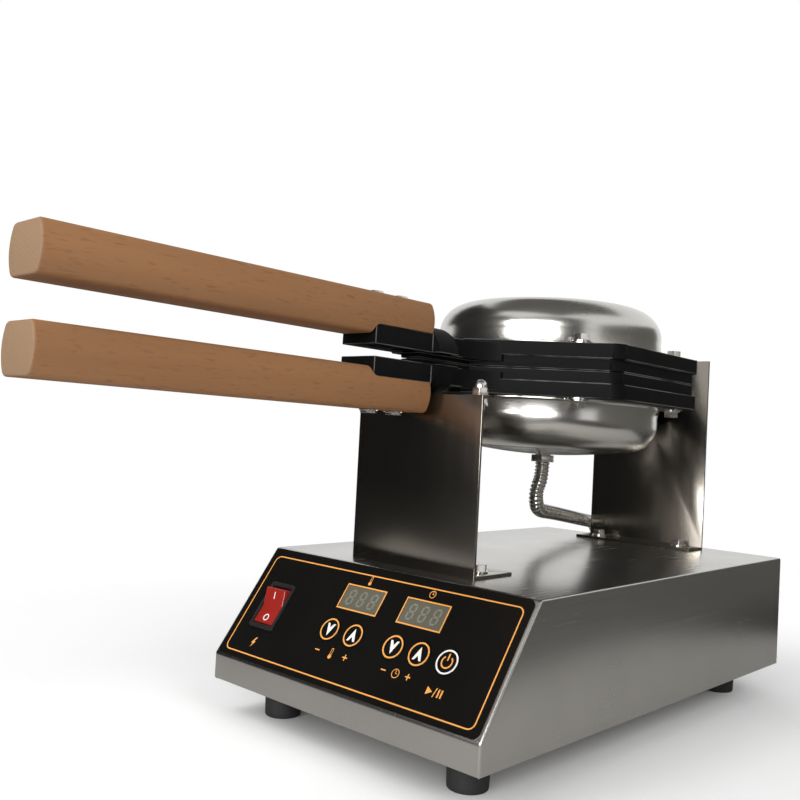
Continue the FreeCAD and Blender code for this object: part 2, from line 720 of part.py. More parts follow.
def stop_studs():
    studs = []
    for x, y in stud_places():
        seat = FRONT_TOP_Z
        dome = Part.makeSphere(ACORN_DOME, V(x, y, seat + NUT_HEIGHT + 1))
        dome = dome.common(block(x - BOLT_FLATS, x + BOLT_FLATS, y - BOLT_FLATS, y + BOLT_FLATS, seat,
                                 seat + 3 * NUT_HEIGHT))
        under = seat - PLATE_SHEET
        studs.append(fuse_all([
            hexagon(BOLT_FLATS, (x, y, seat), (x, y, seat + NUT_HEIGHT)),
            rod(2 * ACORN_DOME, (x, y, seat + NUT_HEIGHT), (x, y, seat + NUT_HEIGHT + 1)),
            dome,
            rod(BOLT_DIAMETER, (x, y, under - STUD_TAIL), (x, y, seat)),
            hexagon(BOLT_FLATS, (x, y, under - NUT_HEIGHT), (x, y, under)),
        ]))
    return Part.makeCompound(studs)


def bush_back():
    return REAR_FACE_Y + PLATE_SHEET + BUSH_TAIL


def pivot_bush():
    back = REAR_FACE_Y + PLATE_SHEET
    shape = fuse_all([
        rod(BUSH_FLANGE_DIAMETER, (0, REAR_FACE_Y - BUSH_FLANGE, AXIS_Z), (0, REAR_FACE_Y, AXIS_Z)),
        rod(BUSH_DIAMETER, (0, REAR_FACE_Y - BUSH_FLANGE, AXIS_Z), (0, bush_back(), AXIS_Z)),
        hexagon(BUSH_FLANGE_DIAMETER, (0, back, AXIS_Z), (0, back + NUT_HEIGHT, AXIS_Z)),
    ])
    bore = rod(SHAFT_DIAMETER + 2 * PIN_FIT, (0, PIN_Y, 0), (0, bush_back() + SHAFT_END, 0))
    return shape.cut(on_mould(bore))


def pivot_shaft():
    collar_back = REAR_FACE_Y - BUSH_FLANGE - THRUST_GAP
    front = PIN_Y + YOKE_SLOT_BACK + YOKE_BLOCK / 4
    end = bush_back() + THRUST_GAP
    shape = fuse_all([
        rod(SHAFT_DIAMETER, (0, front, 0), (0, end, 0)),
        rod(SHAFT_COLLAR_DIAMETER, (0, collar_back - SHAFT_COLLAR, 0), (0, collar_back, 0)),
        rod(SHAFT_END_DIAMETER, (0, end, 0), (0, end + SHAFT_END, 0)),
    ])
    return on_mould(shape.cut(rod(SHAFT_BORE, (0, front - 1, 0), (0, end + SHAFT_END + 1, 0))))


def pivot_nut():
    start = bush_back() + THRUST_GAP
    shape = fuse_all([
        rod(BUSH_DIAMETER, (0, start, 0), (0, start + WASHER, 0)),
        hexagon(PIVOT_NUT_FLATS, (0, start + WASHER, 0), (0, start + WASHER + PIVOT_NUT, 0)),
    ])
    bore = rod(SHAFT_END_DIAMETER + 2 * PIN_FIT, (0, start - 1, 0), (0, start + PIVOT_NUT + 2 * WASHER, 0))
    return on_mould(shape.cut(bore))


# Opening hinge
def hinge_yoke():
    half = YOKE_HALF_WIDTH
    slot = KNUCKLE_HALF_WIDTH + KNUCKLE_GAP
    slot_back = PIN_Y + YOKE_SLOT_BACK
    back = slot_back + YOKE_BLOCK
    ear_front = PIN_Y - YOKE_EAR_FRONT
    ear_top = PIN_LIFT + KNUCKLE_RADIUS
    tongue_top = -PLATE_FACE
    tongue_low = tongue_top - YOKE_TONGUE
    tongue_front = slot_back - YOKE_TONGUE_LENGTH - YOKE_BLOCK / 2
    shape = fuse_all([
        block(-half, half, slot_back, back, tongue_low, YOKE_BLOCK_HALF_HEIGHT),
        block(-half, half, tongue_front, back, tongue_low, tongue_top),
        block(-half, half, ear_front, slot_back, tongue_low, ear_top),
    ])
    tools = [
        block(-slot, slot, ear_front - 1, slot_back, -YOKE_BLOCK_HALF_HEIGHT, ear_top + 1),
        rod(PIN_DIAMETER + 2 * PIN_FIT, (-half - 1, PIN_Y, PIN_LIFT), (half + 1, PIN_Y, PIN_LIFT)),
        rod(SHAFT_DIAMETER + 2 * PIN_FIT, (0, slot_back + YOKE_BLOCK / 4, 0), (0, back + 1, 0)),
        rod(SHAFT_BORE, (0, slot_back - 1, 0), (0, back + 1, 0)),
    ]
    tools += [bolt_hole((0, y, tongue_low - 1), (0, y, tongue_top + 1)) for y in YOKE_BOLT_Y]
    return on_mould(cut_all(shape, tools))


def yoke_bolts():
    seat = -PLATE_FACE - YOKE_TONGUE
    return on_mould(Part.makeCompound([hex_bolt((0, y, seat), (0, 0, 1), YOKE_TONGUE + YOKE_BOLT_DEPTH - 1)
                                       for y in YOKE_BOLT_Y]))


def hinge_pin():
    end = YOKE_HALF_WIDTH + 1
    head = 2 * WASHER
    shape = fuse_all([
        rod(PIN_DIAMETER, (-end, PIN_Y, PIN_LIFT), (end, PIN_Y, PIN_LIFT)),
        rod(PIN_DIAMETER * 1.5, (end - 0.7, PIN_Y, PIN_LIFT), (end + head, PIN_Y, PIN_LIFT)),
        rod(PIN_DIAMETER * 1.5, (-end - head, PIN_Y, PIN_LIFT), (-end + 0.7, PIN_Y, PIN_LIFT)),
    ])
    return on_mould(shape)


# Plates, drawn as the upper half and turned over for the lower one
def hexagon_plate(apothem, low, high):
    """A hexagonal slab with rounded corners, its points towards the front and the rear."""
    radius = apothem / math.cos(math.radians(30))
    corners = []
    for step in range(6):
        angle = math.radians(30 + 60 * step)
        corners.append((radius * math.cos(angle), MOULD_Y + radius * math.sin(angle)))
    slab = flat_sheet(corners, low, high - low)
    uprights = [e for e in slab.Edges if abs(e.Vertexes[0].Z - e.Vertexes[-1].Z) > (high - low) / 2]
    return slab.makeFillet(PLATE_CORNER, uprights)


def neck_lug():
    """The front lug that carries the handle, swept into the plate's sides by two hollow fillets."""
    corner_y = MOULD_Y - PLATE_APOTHEM / math.cos(math.radians(30))
    meet = V(LUG_HALF_WIDTH, corner_y + LUG_HALF_WIDTH * math.tan(math.radians(30)), LUG_INNER)
    along = V(math.cos(math.radians(30)), math.sin(math.radians(30)), 0)
    run = LUG_FILLET / math.tan(math.radians(60))
    start = meet - V(0, run, 0)
    end = meet + along * run
    centre = start + V(LUG_FILLET, 0, 0)
    middle = centre + (meet - centre).normalize() * LUG_FILLET

    def mirrored(p):
        return V(-p.x, p.y, p.z)

    front = V(LUG_HALF_WIDTH, LUG_END_Y, LUG_INNER)
    back = V(end.x, MOULD_Y, LUG_INNER)
    edges = [
        Part.makeLine(mirrored(front), front),
        Part.makeLine(front, start),
        Part.Arc(start, middle, end).toShape(),
        Part.makeLine(end, back),
        Part.makeLine(back, mirrored(back)),
        Part.makeLine(mirrored(back), mirrored(end)),
        Part.Arc(mirrored(end), mirrored(middle), mirrored(start)).toShape(),
        Part.makeLine(mirrored(start), mirrored(front)),
    ]
    return Part.Face(Part.Wire(edges)).extrude(V(0, 0, LUG_OUTER - LUG_INNER))


def journal():
    """Half of the round neck that rolls over the front upright's top edge."""
    drum = rod(2 * JOURNAL_RADIUS, (0, JOURNAL_SPAN[0], 0), (0, JOURNAL_SPAN[1], 0))
    reach = JOURNAL_RADIUS + 1
    return drum.common(block(-reach, reach, JOURNAL_SPAN[0], JOURNAL_SPAN[1], LUG_INNER, reach))


def cell_places():
    places = []
    for row in range(-CELL_RINGS, CELL_RINGS + 1):
        for column in range(-CELL_RINGS, CELL_RINGS + 1):
            if abs(row + column) <= CELL_RINGS:
                x = CELL_PITCH * row * math.sqrt(3) / 2
                y = CELL_PITCH * (column + row / 2)
                places.append((x, MOULD_Y + y))
    return places


def cover_bolt_places():
    places = []
    for angle in COVER_BOLT_ANGLES:
        turn = math.radians(angle)
        places.append((COVER_BOLT_RADIUS * math.cos(turn), MOULD_Y + COVER_BOLT_RADIUS * math.sin(turn)))
    return places


def plate_half(rear_parts):
    """One plate with its cells, as the upper half; rear_parts are the solids of its hinge end."""
    front_corner = MOULD_Y - PLATE_APOTHEM / math.cos(math.radians(30))
    rib_front = front_corner - NECK_RIB_LENGTH
    shape = fuse_all([
        hexagon_plate(PLATE_APOTHEM, PLATE_STEP, PLATE_FACE),
        hexagon_plate(PLATE_APOTHEM - PLATE_STEP_IN, PLATE_RIM, PLATE_STEP),
        neck_lug(),
        journal(),
        block(-NECK_RIB_HALF_WIDTH, NECK_RIB_HALF_WIDTH, rib_front, MOULD_Y, PLATE_RIM, LUG_OUTER),
    ] + rear_parts)
    tray = PLATE_RIM + TRAY_DEPTH
    tools = [hexagon_plate(TRAY_APOTHEM, -1, tray)]
    tools += [Part.makeSphere(CELL_RADIUS, V(x, y, tray)) for x, y in cell_places()]
    tools += [bolt_hole((x, y, PLATE_FACE - COVER_BOLT_DEPTH), (x, y, PLATE_FACE + 1))
              for x, y in cover_bolt_places()]
    tools += [bolt_hole((0, y, 0), (0, y, LUG_OUTER + 1)) for y in HANDLE_BOLT_Y]
    return cut_all(shape, tools)


def upper_plate():
    front = MOULD_Y + TRAY_APOTHEM
    half = KNUCKLE_HALF_WIDTH
    arm = block(-half, half, front, PIN_Y, PIN_FIT + PLATE_RIM, PIN_LIFT + KNUCKLE_RADIUS)
    knuckle = rod(2 * KNUCKLE_RADIUS, (-half, PIN_Y, PIN_LIFT), (half, PIN_Y, PIN_LIFT))
    plate = plate_half([arm, knuckle])
    reach = KNUCKLE_HALF_WIDTH + 1
    bore = rod(PIN_DIAMETER + 2 * PIN_FIT, (-reach, PIN_Y, PIN_LIFT), (reach, PIN_Y, PIN_LIFT))
    return on_mould(plate.cut(bore))


def lower_plate():
    front = MOULD_Y + TRAY_APOTHEM
    end = PIN_Y - YOKE_EAR_FRONT - KNUCKLE_GAP
    lug = block(-YOKE_HALF_WIDTH, YOKE_HALF_WIDTH, front, end, REAR_LUG_DROP, PLATE_FACE)
    plate = plate_half([lug])
    holes = [bolt_hole((0, y, PLATE_FACE - YOKE_BOLT_DEPTH), (0, y, PLATE_FACE + 1)) for y in YOKE_BOLT_Y]
    return on_mould(turned_over(cut_all(plate, holes)))


# Covers, heaters and thermostats, drawn as the upper half
def dome(shrink):
    """The cover's round body, drawn in all over by shrink."""
    base_r = COVER_RADIUS - shrink
    wall = V(COVER_RADIUS - COVER_WALL_LEAN - shrink, 0, COVER_WALL_HEIGHT)
    crown = V(COVER_CROWN_RADIUS - shrink / 2, 0, COVER_CROWN_HEIGHT - shrink)
    top = V(0, 0, COVER_HEIGHT - shrink)
    bulge = COVER_RADIUS - COVER_CROWN_RADIUS
    shoulder = V(crown.x + bulge * 0.72, 0, wall.z + (crown.z - wall.z) * 0.74)
    rise = top.z - crown.z
    crown_ball = (crown.x ** 2 + rise ** 2) / (2 * rise)
    half_turn = math.asin(crown.x / crown_ball) / 2
    brow = V(crown_ball * math.sin(half_turn), 0, top.z - crown_ball * (1 - math.cos(half_turn)))
    edges = [
        Part.makeLine(V(0, 0, 0), V(base_r, 0, 0)),
        Part.makeLine(V(base_r, 0, 0), wall),
        Part.Arc(wall, shoulder, crown).toShape(),
        Part.Arc(crown, brow, top).toShape(),
        Part.makeLine(top, V(0, 0, 0)),
    ]
    solid = Part.Face(Part.Wire(edges)).revolve(V(0, 0, 0), V(0, 0, 1), 360)
    solid.translate(V(0, MOULD_Y, COVER_BASE))
    return solid


def fitting_place():
    """The conduit's seat on the lower cover, in the frame of the lower half turned upright."""
    start = V(HOSE_ROUTE[0][0], HOSE_ROUTE[0][1], HOSE_ROUTE[0][2] + BOTTOM_Z)
    local = MOULD_PLACE.inverse().multVec(start)
    return (-local.x, local.y, -local.z)


def cover(collar):
    """Pressed cover with its rim and bolt tabs; the lower one has a collar for the conduit."""
    rim_top = COVER_BASE + COVER_SHEET
    solids = [dome(0), rod(2 * (COVER_RADIUS + COVER_RIM), (0, MOULD_Y, COVER_BASE), (0, MOULD_Y, rim_top))]
    solids += [rod(2 * COVER_TAB_RADIUS, (x, y, COVER_BASE), (x, y, rim_top)) for x, y in cover_bolt_places()]
    tools = [dome(COVER_SHEET)]
    tools += [bolt_hole((x, y, COVER_BASE - 1), (x, y, rim_top + 1)) for x, y in cover_bolt_places()]
    shape = cut_all(fuse_all(solids), tools)
    if collar:
        x, y, _ = fitting_place()
        top = COVER_BASE + COVER_HEIGHT + COLLAR_PROUD
        low = COVER_BASE + COVER_CROWN_HEIGHT
        shape = shape.fuse(rod(COLLAR_DIAMETER, (x, y, low), (x, y, top)))
        shape = shape.cut(rod(ELBOW_STUB_DIAMETER, (x, y, COVER_BASE), (x, y, top + 1))).removeSplitter()
    return shape


def conduit_fitting():
    x, y, end = fitting_place()
    seat = COVER_BASE + COVER_HEIGHT + COLLAR_PROUD
    stub = ELBOW_STUB_DIAMETER - 2 * BOLT_FIT
    inside = COVER_BASE + COVER_CROWN_HEIGHT - 2 * NUT_HEIGHT
    shape = fuse_all([
        hexagon(FITTING_FLATS, (x, y, seat), (x, y, end - HOSE_SEAT_GAP)),
        rod(stub, (x, y, inside), (x, y, seat)),
    ])
    return on_mould(turned_over(shape.cut(rod(HOSE_BORE, (x, y, inside - 1), (x, y, end + 1)))))


def cover_bolts():
    seat = COVER_BASE + COVER_SHEET
    return Part.makeCompound([hex_bolt((x, y, seat), (0, 0, -1), COVER_SHEET + COVER_BOLT_DEPTH - 1)
                              for x, y in cover_bolt_places()])


def heater():
    z = PLATE_FACE + HEATER_TUBE / 2 + HEATER_GAP
    ring = Part.makeTorus(HEATER_RADIUS, HEATER_TUBE / 2, V(0, MOULD_Y, z))
    posts = [rod(HEATER_TUBE * 0.7, (side * HEATER_TUBE, MOULD_Y + HEATER_RADIUS, z),
                 (side * HEATER_TUBE, MOULD_Y + HEATER_RADIUS, z + HEATER_POST)) for side in (-1, 1)]
    return fuse_all([ring] + posts)


def thermostat():
    step = THERMOSTAT_HEIGHT / 3
    return fuse_all([
        rod(THERMOSTAT_DIAMETER, (0, MOULD_Y, PLATE_FACE), (0, MOULD_Y, PLATE_FACE + 2 * step)),
        rod(THERMOSTAT_DIAMETER * 0.6, (0, MOULD_Y, PLATE_FACE), (0, MOULD_Y, PLATE_FACE + 3 * step)),
    ])


# Handles, drawn as the upper one
def handle():
    half_flat = HANDLE_FLAT / 2
    half_wide = HANDLE_WIDTH / 2
    low = HANDLE_OFFSET - HANDLE_HEIGHT / 2
    high = HANDLE_OFFSET + HANDLE_HEIGHT / 2
    y = HANDLE_FRONT_Y
    corners = [V(-half_flat, y, low), V(half_flat, y, low), V(half_flat, y, high), V(-half_flat, y, high)]
    edges = [
        Part.makeLine(corners[0], corners[1]),
        Part.Arc(corners[1], V(half_wide, y, HANDLE_OFFSET), corners[2]).toShape(),
        Part.makeLine(corners[2], corners[3]),
        Part.Arc(corners[3], V(-half_wide, y, HANDLE_OFFSET), corners[0]).toShape(),
    ]
    bar = Part.Face(Part.Wire(edges)).extrude(V(0, HANDLE_REAR_Y - HANDLE_FRONT_Y, 0))
    ends = [e for e in bar.Edges if abs(e.CenterOfMass.y - HANDLE_FRONT_Y) < 0.01
            or abs(e.CenterOfMass.y - HANDLE_REAR_Y) < 0.01]
    bar = bar.makeFillet(HANDLE_EDGE, ends)
    tools = [block(-half_wide - 1, half_wide + 1, LUG_END_Y - SLIP, HANDLE_REAR_Y + 1, low - 1, LUG_OUTER)]
    tools += [bolt_hole((0, bolt_y, low - 1), (0, bolt_y, high + 1)) for bolt_y in HANDLE_BOLT_Y]
    return cut_all(bar, tools)


def handle_bolts():
    seat = HANDLE_OFFSET + HANDLE_HEIGHT / 2
    grip = seat - LUG_INNER - HANDLE_BOLT_END
    return Part.makeCompound([hex_bolt((0, y, seat), (0, 0, -1), grip, head=LOW_HEAD) for y in HANDLE_BOLT_Y])


# Conduit
def hose_points():
    route = [V(x, y, z + BOTTOM_Z) for x, y, z in HOSE_ROUTE]
    inlet = V(ELBOW_X, ELBOW_Y, ELBOW_INLET + BOTTOM_Z)
    return route + [inlet + V(0, 0, HOSE_LAST_DROP), inlet]


def corner_radius(before, corner, after, last):
    """The largest easy bend at a corner, and the angle that it turns through."""
    turn = (corner - before).getAngle(after - corner)
    run = min((corner - before).Length, (after - corner).Length)
    if last:
        return HOSE_LAST_RADIUS, turn
    return 0.45 * run / math.tan(turn / 2), turn


def hose_path():
    """Straight runs joined by tangent arcs."""
    points = hose_points()
    edges = []
    start = points[0]
    for index in range(1, len(points) - 1):
        before, corner, after = points[index - 1:index + 2]
        radius, turn = corner_radius(before, corner, after, index == len(points) - 2)
        tangent = radius * math.tan(turn / 2)
        way_in = (corner - before).normalize()
        way_out = (after - corner).normalize()
        arc_start = corner - way_in * tangent
        arc_end = corner + way_out * tangent
        inward = (way_out - way_in).normalize()
        middle = corner + inward * (radius / math.cos(turn / 2) - radius)
        edges.append(Part.makeLine(start, arc_start))
        edges.append(Part.Arc(arc_start, middle, arc_end).toShape())
        print("conduit bend %d: radius %.1f mm" % (index, radius))
        start = arc_end
    edges.append(Part.makeLine(start, points[-1]))
    return edges


def hose_stations(edges):
    """Distance function along the route: point and direction at any length."""
    lengths = [edge.Length for edge in edges]

    def at(distance):
        for edge, length in zip(edges, lengths):
            if distance <= length or edge is edges[-1]:
                parameter = edge.getParameterByLength(min(distance, length))
                return edge.valueAt(parameter), edge.tangentAt(parameter)
            distance -= length

    return at, sum(lengths)


def hose_ring(at, distance, diameter):
    """One circle square to the route, its start always on the same side."""
    centre, way = at(distance)
    side = V(1, 0, 0) - way * way.x
    turn = FreeCAD.Rotation(side, V(0, 0, 0), way, "ZXY")
    ring = Part.Wire([Part.makeCircle(diameter / 2)])
    ring.Placement = FreeCAD.Placement(centre, turn)
    return ring


def conduit_hose():
    at, length = hose_stations(hose_path())
    ribs = int(length / HOSE_PITCH)
    pitch = length / ribs
    outer = []
    inner = []
    for rib in range(ribs):
        start = rib * pitch
        outer.append(hose_ring(at, start, HOSE_ROOT))
        outer.append(hose_ring(at, start + 0.25 * pitch, HOSE_DIAMETER))
        outer.append(hose_ring(at, start + 0.6 * pitch, HOSE_DIAMETER))
        outer.append(hose_ring(at, start + 0.85 * pitch, HOSE_ROOT))
        inner.append(hose_ring(at, start, HOSE_BORE))
    outer.append(hose_ring(at, length, HOSE_ROOT))
    inner.append(hose_ring(at, length, HOSE_BORE))
    hose = Part.makeLoft(outer, True, True).cut(Part.makeLoft(inner, True, True))
    print("conduit: %d ribs, length %.1f mm, volume %.0f mm3" % (ribs, length, hose.Volume))
    return hose


def conduit_elbow():
    x, y = ELBOW_X, ELBOW_Y
    inlet = ELBOW_INLET + BOTTOM_Z
    outlet = elbow_z()
    inside = BACK_Y - SHEET - ELBOW_LOCK
    shape = fuse_all([
        hexagon(ELBOW_FLATS, (x, y, inlet - ELBOW_CAP), (x, y, inlet)).common(
            rod(ELBOW_DIAMETER * 1.15, (x, y, inlet - ELBOW_CAP), (x, y, inlet))).common(
            block(x - ELBOW_FLATS, x + ELBOW_FLATS, BACK_Y + 1, BACK_END_Y, inlet - ELBOW_CAP, inlet)),
        rod(ELBOW_DIAMETER * 0.9, (x, y, outlet), (x, y, inlet)),
        Part.makeSphere(ELBOW_DIAMETER * 0.45, V(x, y, outlet)),
        rod(ELBOW_DIAMETER * 0.9, (x, BACK_Y, outlet), (x, y, outlet)),
        hexagon(ELBOW_FLATS, (x, BACK_Y, outlet), (x, BACK_Y + ELBOW_LOCK, outlet)),
        rod(ELBOW_STUB_DIAMETER, (x, inside, outlet), (x, BACK_Y, outlet)),
        hexagon(ELBOW_FLATS, (x, inside, outlet), (x, BACK_Y - SHEET, outlet)),
    ])
    tools = [
        rod(HOSE_BORE, (x, y, outlet), (x, y, inlet + 1)),
        rod(HOSE_BORE, (x, inside - 1, outlet), (x, y, outlet)),
        Part.makeSphere(HOSE_BORE / 2, V(x, y, outlet)),
    ]
    return cut_all(shape, tools)


def build():
    os.makedirs("parts", exist_ok=True)
    pieces = {
        "base_housing": base_housing(),
        "base_floor": base_floor(),
        "rear_panel": rear_panel(),
        "housing_screws": housing_screws(),
        "rubber_feet": rubber_feet(),
        "foot_screws": foot_screws(),
        "control_overlay": control_overlay(),
        "switch_bezel": switch_bezel(),
        "power_rocker": power_rocker(),
        "temperature_display": display(TEMPERATURE_DISPLAY_X),
        "time_display": display(TIME_DISPLAY_X),
        "control_board": control_board(),
        "key_switches": key_switches(),
        "board_standoffs": board_standoffs(),
        "power_relay": power_relay(),
        "transformer": transformer(),
        "terminal_block": terminal_block(),
        "cord_gland": cord_gland(),
        "front_upright": front_upright(),
        "rear_upright": rear_upright(),
        "upright_bolts": upright_bolts(),
        "stop_studs": stop_studs(),
        "pivot_bush": pivot_bush(),
        "pivot_shaft": pivot_shaft(),
        "pivot_nut": pivot_nut(),
        "hinge_yoke": hinge_yoke(),
        "yoke_bolts": yoke_bolts(),
        "hinge_pin": hinge_pin(),
        "upper_plate": upper_plate(),
        "lower_plate": lower_plate(),
        "upper_cover": on_mould(cover(False)),
        "lower_cover": on_mould(turned_over(cover(True))),
        "upper_cover_bolts": on_mould(cover_bolts()),
        "lower_cover_bolts": on_mould(turned_over(cover_bolts())),
        "upper_heater": on_mould(heater()),
        "lower_heater": on_mould(turned_over(heater())),
        "upper_thermostat": on_mould(thermostat()),
        "lower_thermostat": on_mould(turned_over(thermostat())),
        "upper_handle": on_mould(handle()),
        "lower_handle": on_mould(turned_over(handle())),
        "upper_handle_bolts": on_mould(handle_bolts()),
        "lower_handle_bolts": on_mould(turned_over(handle_bolts())),
        "conduit_fitting": conduit_fitting(),
        "conduit_elbow": conduit_elbow(),
        "conduit_hose": conduit_hose(),
    }
    for name, x in KEY_X.items():
        pieces[name] = key(x)
    for name, shape in pieces.items():
        save(name, shape)
    print("%d pieces, length %.1f mm" % (len(pieces), BACK_END_Y - HANDLE_FRONT_Y))


build()
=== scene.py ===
"""Flip waffle iron: finishes, pressed covers, turned handles, panel print and ribbed conduit."""

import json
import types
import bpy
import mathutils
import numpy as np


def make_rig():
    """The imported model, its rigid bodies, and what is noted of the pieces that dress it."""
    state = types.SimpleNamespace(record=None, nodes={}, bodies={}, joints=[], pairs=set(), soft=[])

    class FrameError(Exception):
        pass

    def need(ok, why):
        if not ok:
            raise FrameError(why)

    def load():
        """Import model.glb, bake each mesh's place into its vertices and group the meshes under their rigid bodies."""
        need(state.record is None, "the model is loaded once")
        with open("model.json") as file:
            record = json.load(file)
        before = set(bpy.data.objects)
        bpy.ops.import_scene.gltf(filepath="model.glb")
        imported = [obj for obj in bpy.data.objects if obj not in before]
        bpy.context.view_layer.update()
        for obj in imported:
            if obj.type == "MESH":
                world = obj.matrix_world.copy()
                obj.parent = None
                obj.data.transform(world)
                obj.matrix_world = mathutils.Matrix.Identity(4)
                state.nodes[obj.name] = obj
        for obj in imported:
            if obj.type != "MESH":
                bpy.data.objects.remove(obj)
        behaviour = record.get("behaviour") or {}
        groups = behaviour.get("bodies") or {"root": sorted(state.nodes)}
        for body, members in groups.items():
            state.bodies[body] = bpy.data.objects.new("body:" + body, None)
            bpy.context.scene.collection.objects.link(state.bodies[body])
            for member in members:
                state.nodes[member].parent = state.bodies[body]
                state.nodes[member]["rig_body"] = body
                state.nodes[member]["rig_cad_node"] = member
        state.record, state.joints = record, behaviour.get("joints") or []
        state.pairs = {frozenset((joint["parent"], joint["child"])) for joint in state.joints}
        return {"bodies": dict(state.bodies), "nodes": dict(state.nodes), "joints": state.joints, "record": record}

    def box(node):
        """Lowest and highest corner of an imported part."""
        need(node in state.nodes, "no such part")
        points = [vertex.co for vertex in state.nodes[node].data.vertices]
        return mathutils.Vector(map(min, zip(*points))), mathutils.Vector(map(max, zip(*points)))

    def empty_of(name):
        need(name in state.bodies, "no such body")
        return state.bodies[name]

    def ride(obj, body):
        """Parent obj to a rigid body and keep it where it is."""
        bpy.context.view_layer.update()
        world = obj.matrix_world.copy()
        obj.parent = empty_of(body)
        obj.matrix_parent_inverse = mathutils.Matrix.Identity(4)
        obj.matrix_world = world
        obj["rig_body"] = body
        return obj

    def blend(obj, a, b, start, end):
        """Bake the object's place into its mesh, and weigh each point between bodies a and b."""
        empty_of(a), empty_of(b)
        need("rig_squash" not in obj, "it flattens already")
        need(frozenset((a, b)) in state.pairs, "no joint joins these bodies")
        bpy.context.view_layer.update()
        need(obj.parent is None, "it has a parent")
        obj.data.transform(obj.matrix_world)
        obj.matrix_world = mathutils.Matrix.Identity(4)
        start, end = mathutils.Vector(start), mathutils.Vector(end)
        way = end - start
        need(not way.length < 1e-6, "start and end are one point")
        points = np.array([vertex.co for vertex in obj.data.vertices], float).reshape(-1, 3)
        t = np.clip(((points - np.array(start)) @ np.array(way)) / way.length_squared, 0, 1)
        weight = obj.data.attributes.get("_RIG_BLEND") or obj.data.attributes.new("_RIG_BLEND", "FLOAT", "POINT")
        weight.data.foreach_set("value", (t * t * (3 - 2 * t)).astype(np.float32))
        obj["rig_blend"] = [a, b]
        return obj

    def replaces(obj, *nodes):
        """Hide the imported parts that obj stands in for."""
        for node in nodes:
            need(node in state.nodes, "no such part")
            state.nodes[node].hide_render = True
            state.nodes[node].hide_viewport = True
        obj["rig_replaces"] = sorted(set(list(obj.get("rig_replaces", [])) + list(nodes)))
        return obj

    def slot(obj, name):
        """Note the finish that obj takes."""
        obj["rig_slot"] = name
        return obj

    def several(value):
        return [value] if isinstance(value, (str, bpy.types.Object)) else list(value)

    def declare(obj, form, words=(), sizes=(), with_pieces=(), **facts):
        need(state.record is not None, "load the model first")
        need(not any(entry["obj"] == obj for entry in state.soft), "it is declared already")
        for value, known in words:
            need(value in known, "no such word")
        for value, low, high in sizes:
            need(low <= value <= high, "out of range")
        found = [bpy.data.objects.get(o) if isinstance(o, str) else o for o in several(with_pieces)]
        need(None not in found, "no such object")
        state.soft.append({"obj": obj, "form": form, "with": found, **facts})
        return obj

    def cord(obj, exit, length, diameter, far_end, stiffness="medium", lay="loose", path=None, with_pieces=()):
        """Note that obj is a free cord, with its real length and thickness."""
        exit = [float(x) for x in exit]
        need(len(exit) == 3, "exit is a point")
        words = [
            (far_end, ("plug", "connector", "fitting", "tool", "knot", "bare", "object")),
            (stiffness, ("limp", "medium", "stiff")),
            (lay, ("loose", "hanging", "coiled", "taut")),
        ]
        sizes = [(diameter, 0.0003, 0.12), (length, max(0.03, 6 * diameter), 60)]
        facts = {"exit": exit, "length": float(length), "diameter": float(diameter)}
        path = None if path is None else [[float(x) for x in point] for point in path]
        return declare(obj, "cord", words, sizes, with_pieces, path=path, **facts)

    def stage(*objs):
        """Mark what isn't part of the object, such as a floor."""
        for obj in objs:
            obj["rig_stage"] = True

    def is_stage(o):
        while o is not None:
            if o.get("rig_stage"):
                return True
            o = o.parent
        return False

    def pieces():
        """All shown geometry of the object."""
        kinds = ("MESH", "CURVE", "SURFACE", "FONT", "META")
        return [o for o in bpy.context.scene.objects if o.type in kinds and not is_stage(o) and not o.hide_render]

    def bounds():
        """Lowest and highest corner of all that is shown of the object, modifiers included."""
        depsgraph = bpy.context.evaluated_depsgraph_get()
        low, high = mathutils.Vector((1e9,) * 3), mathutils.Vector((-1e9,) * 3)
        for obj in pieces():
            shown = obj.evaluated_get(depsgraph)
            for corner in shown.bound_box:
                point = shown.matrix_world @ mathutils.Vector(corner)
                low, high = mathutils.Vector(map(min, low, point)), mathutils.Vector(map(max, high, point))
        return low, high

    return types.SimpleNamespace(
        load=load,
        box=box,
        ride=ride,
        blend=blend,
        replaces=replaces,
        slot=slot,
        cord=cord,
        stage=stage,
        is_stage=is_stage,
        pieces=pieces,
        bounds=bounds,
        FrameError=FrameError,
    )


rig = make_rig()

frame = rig.load()

import json
import math
from contextlib import contextmanager

import bmesh
import bpy
from bpy.props import FloatProperty, FloatVectorProperty, IntProperty, PointerProperty
from bpy.types import Operator, Panel, PropertyGroup
from mathutils import Matrix, Vector

bl_info = {
    "name": "Flip waffle iron",
    "version": (1, 0, 0),
    "blender": (4, 5, 0),
    "location": "View3D > Sidebar > Waffle iron",
    "description": "Models and finishes the pieces of a counter-top flip waffle iron",
    "category": "Object",
}

CAD_LOW, CAD_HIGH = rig.bounds()
JOINTS = {joint["name"]: joint for joint in frame["joints"]}
WELD = 1e-6
TOUCH = 1e-5
FACING = 0.9
FLAT = math.radians(0.6)

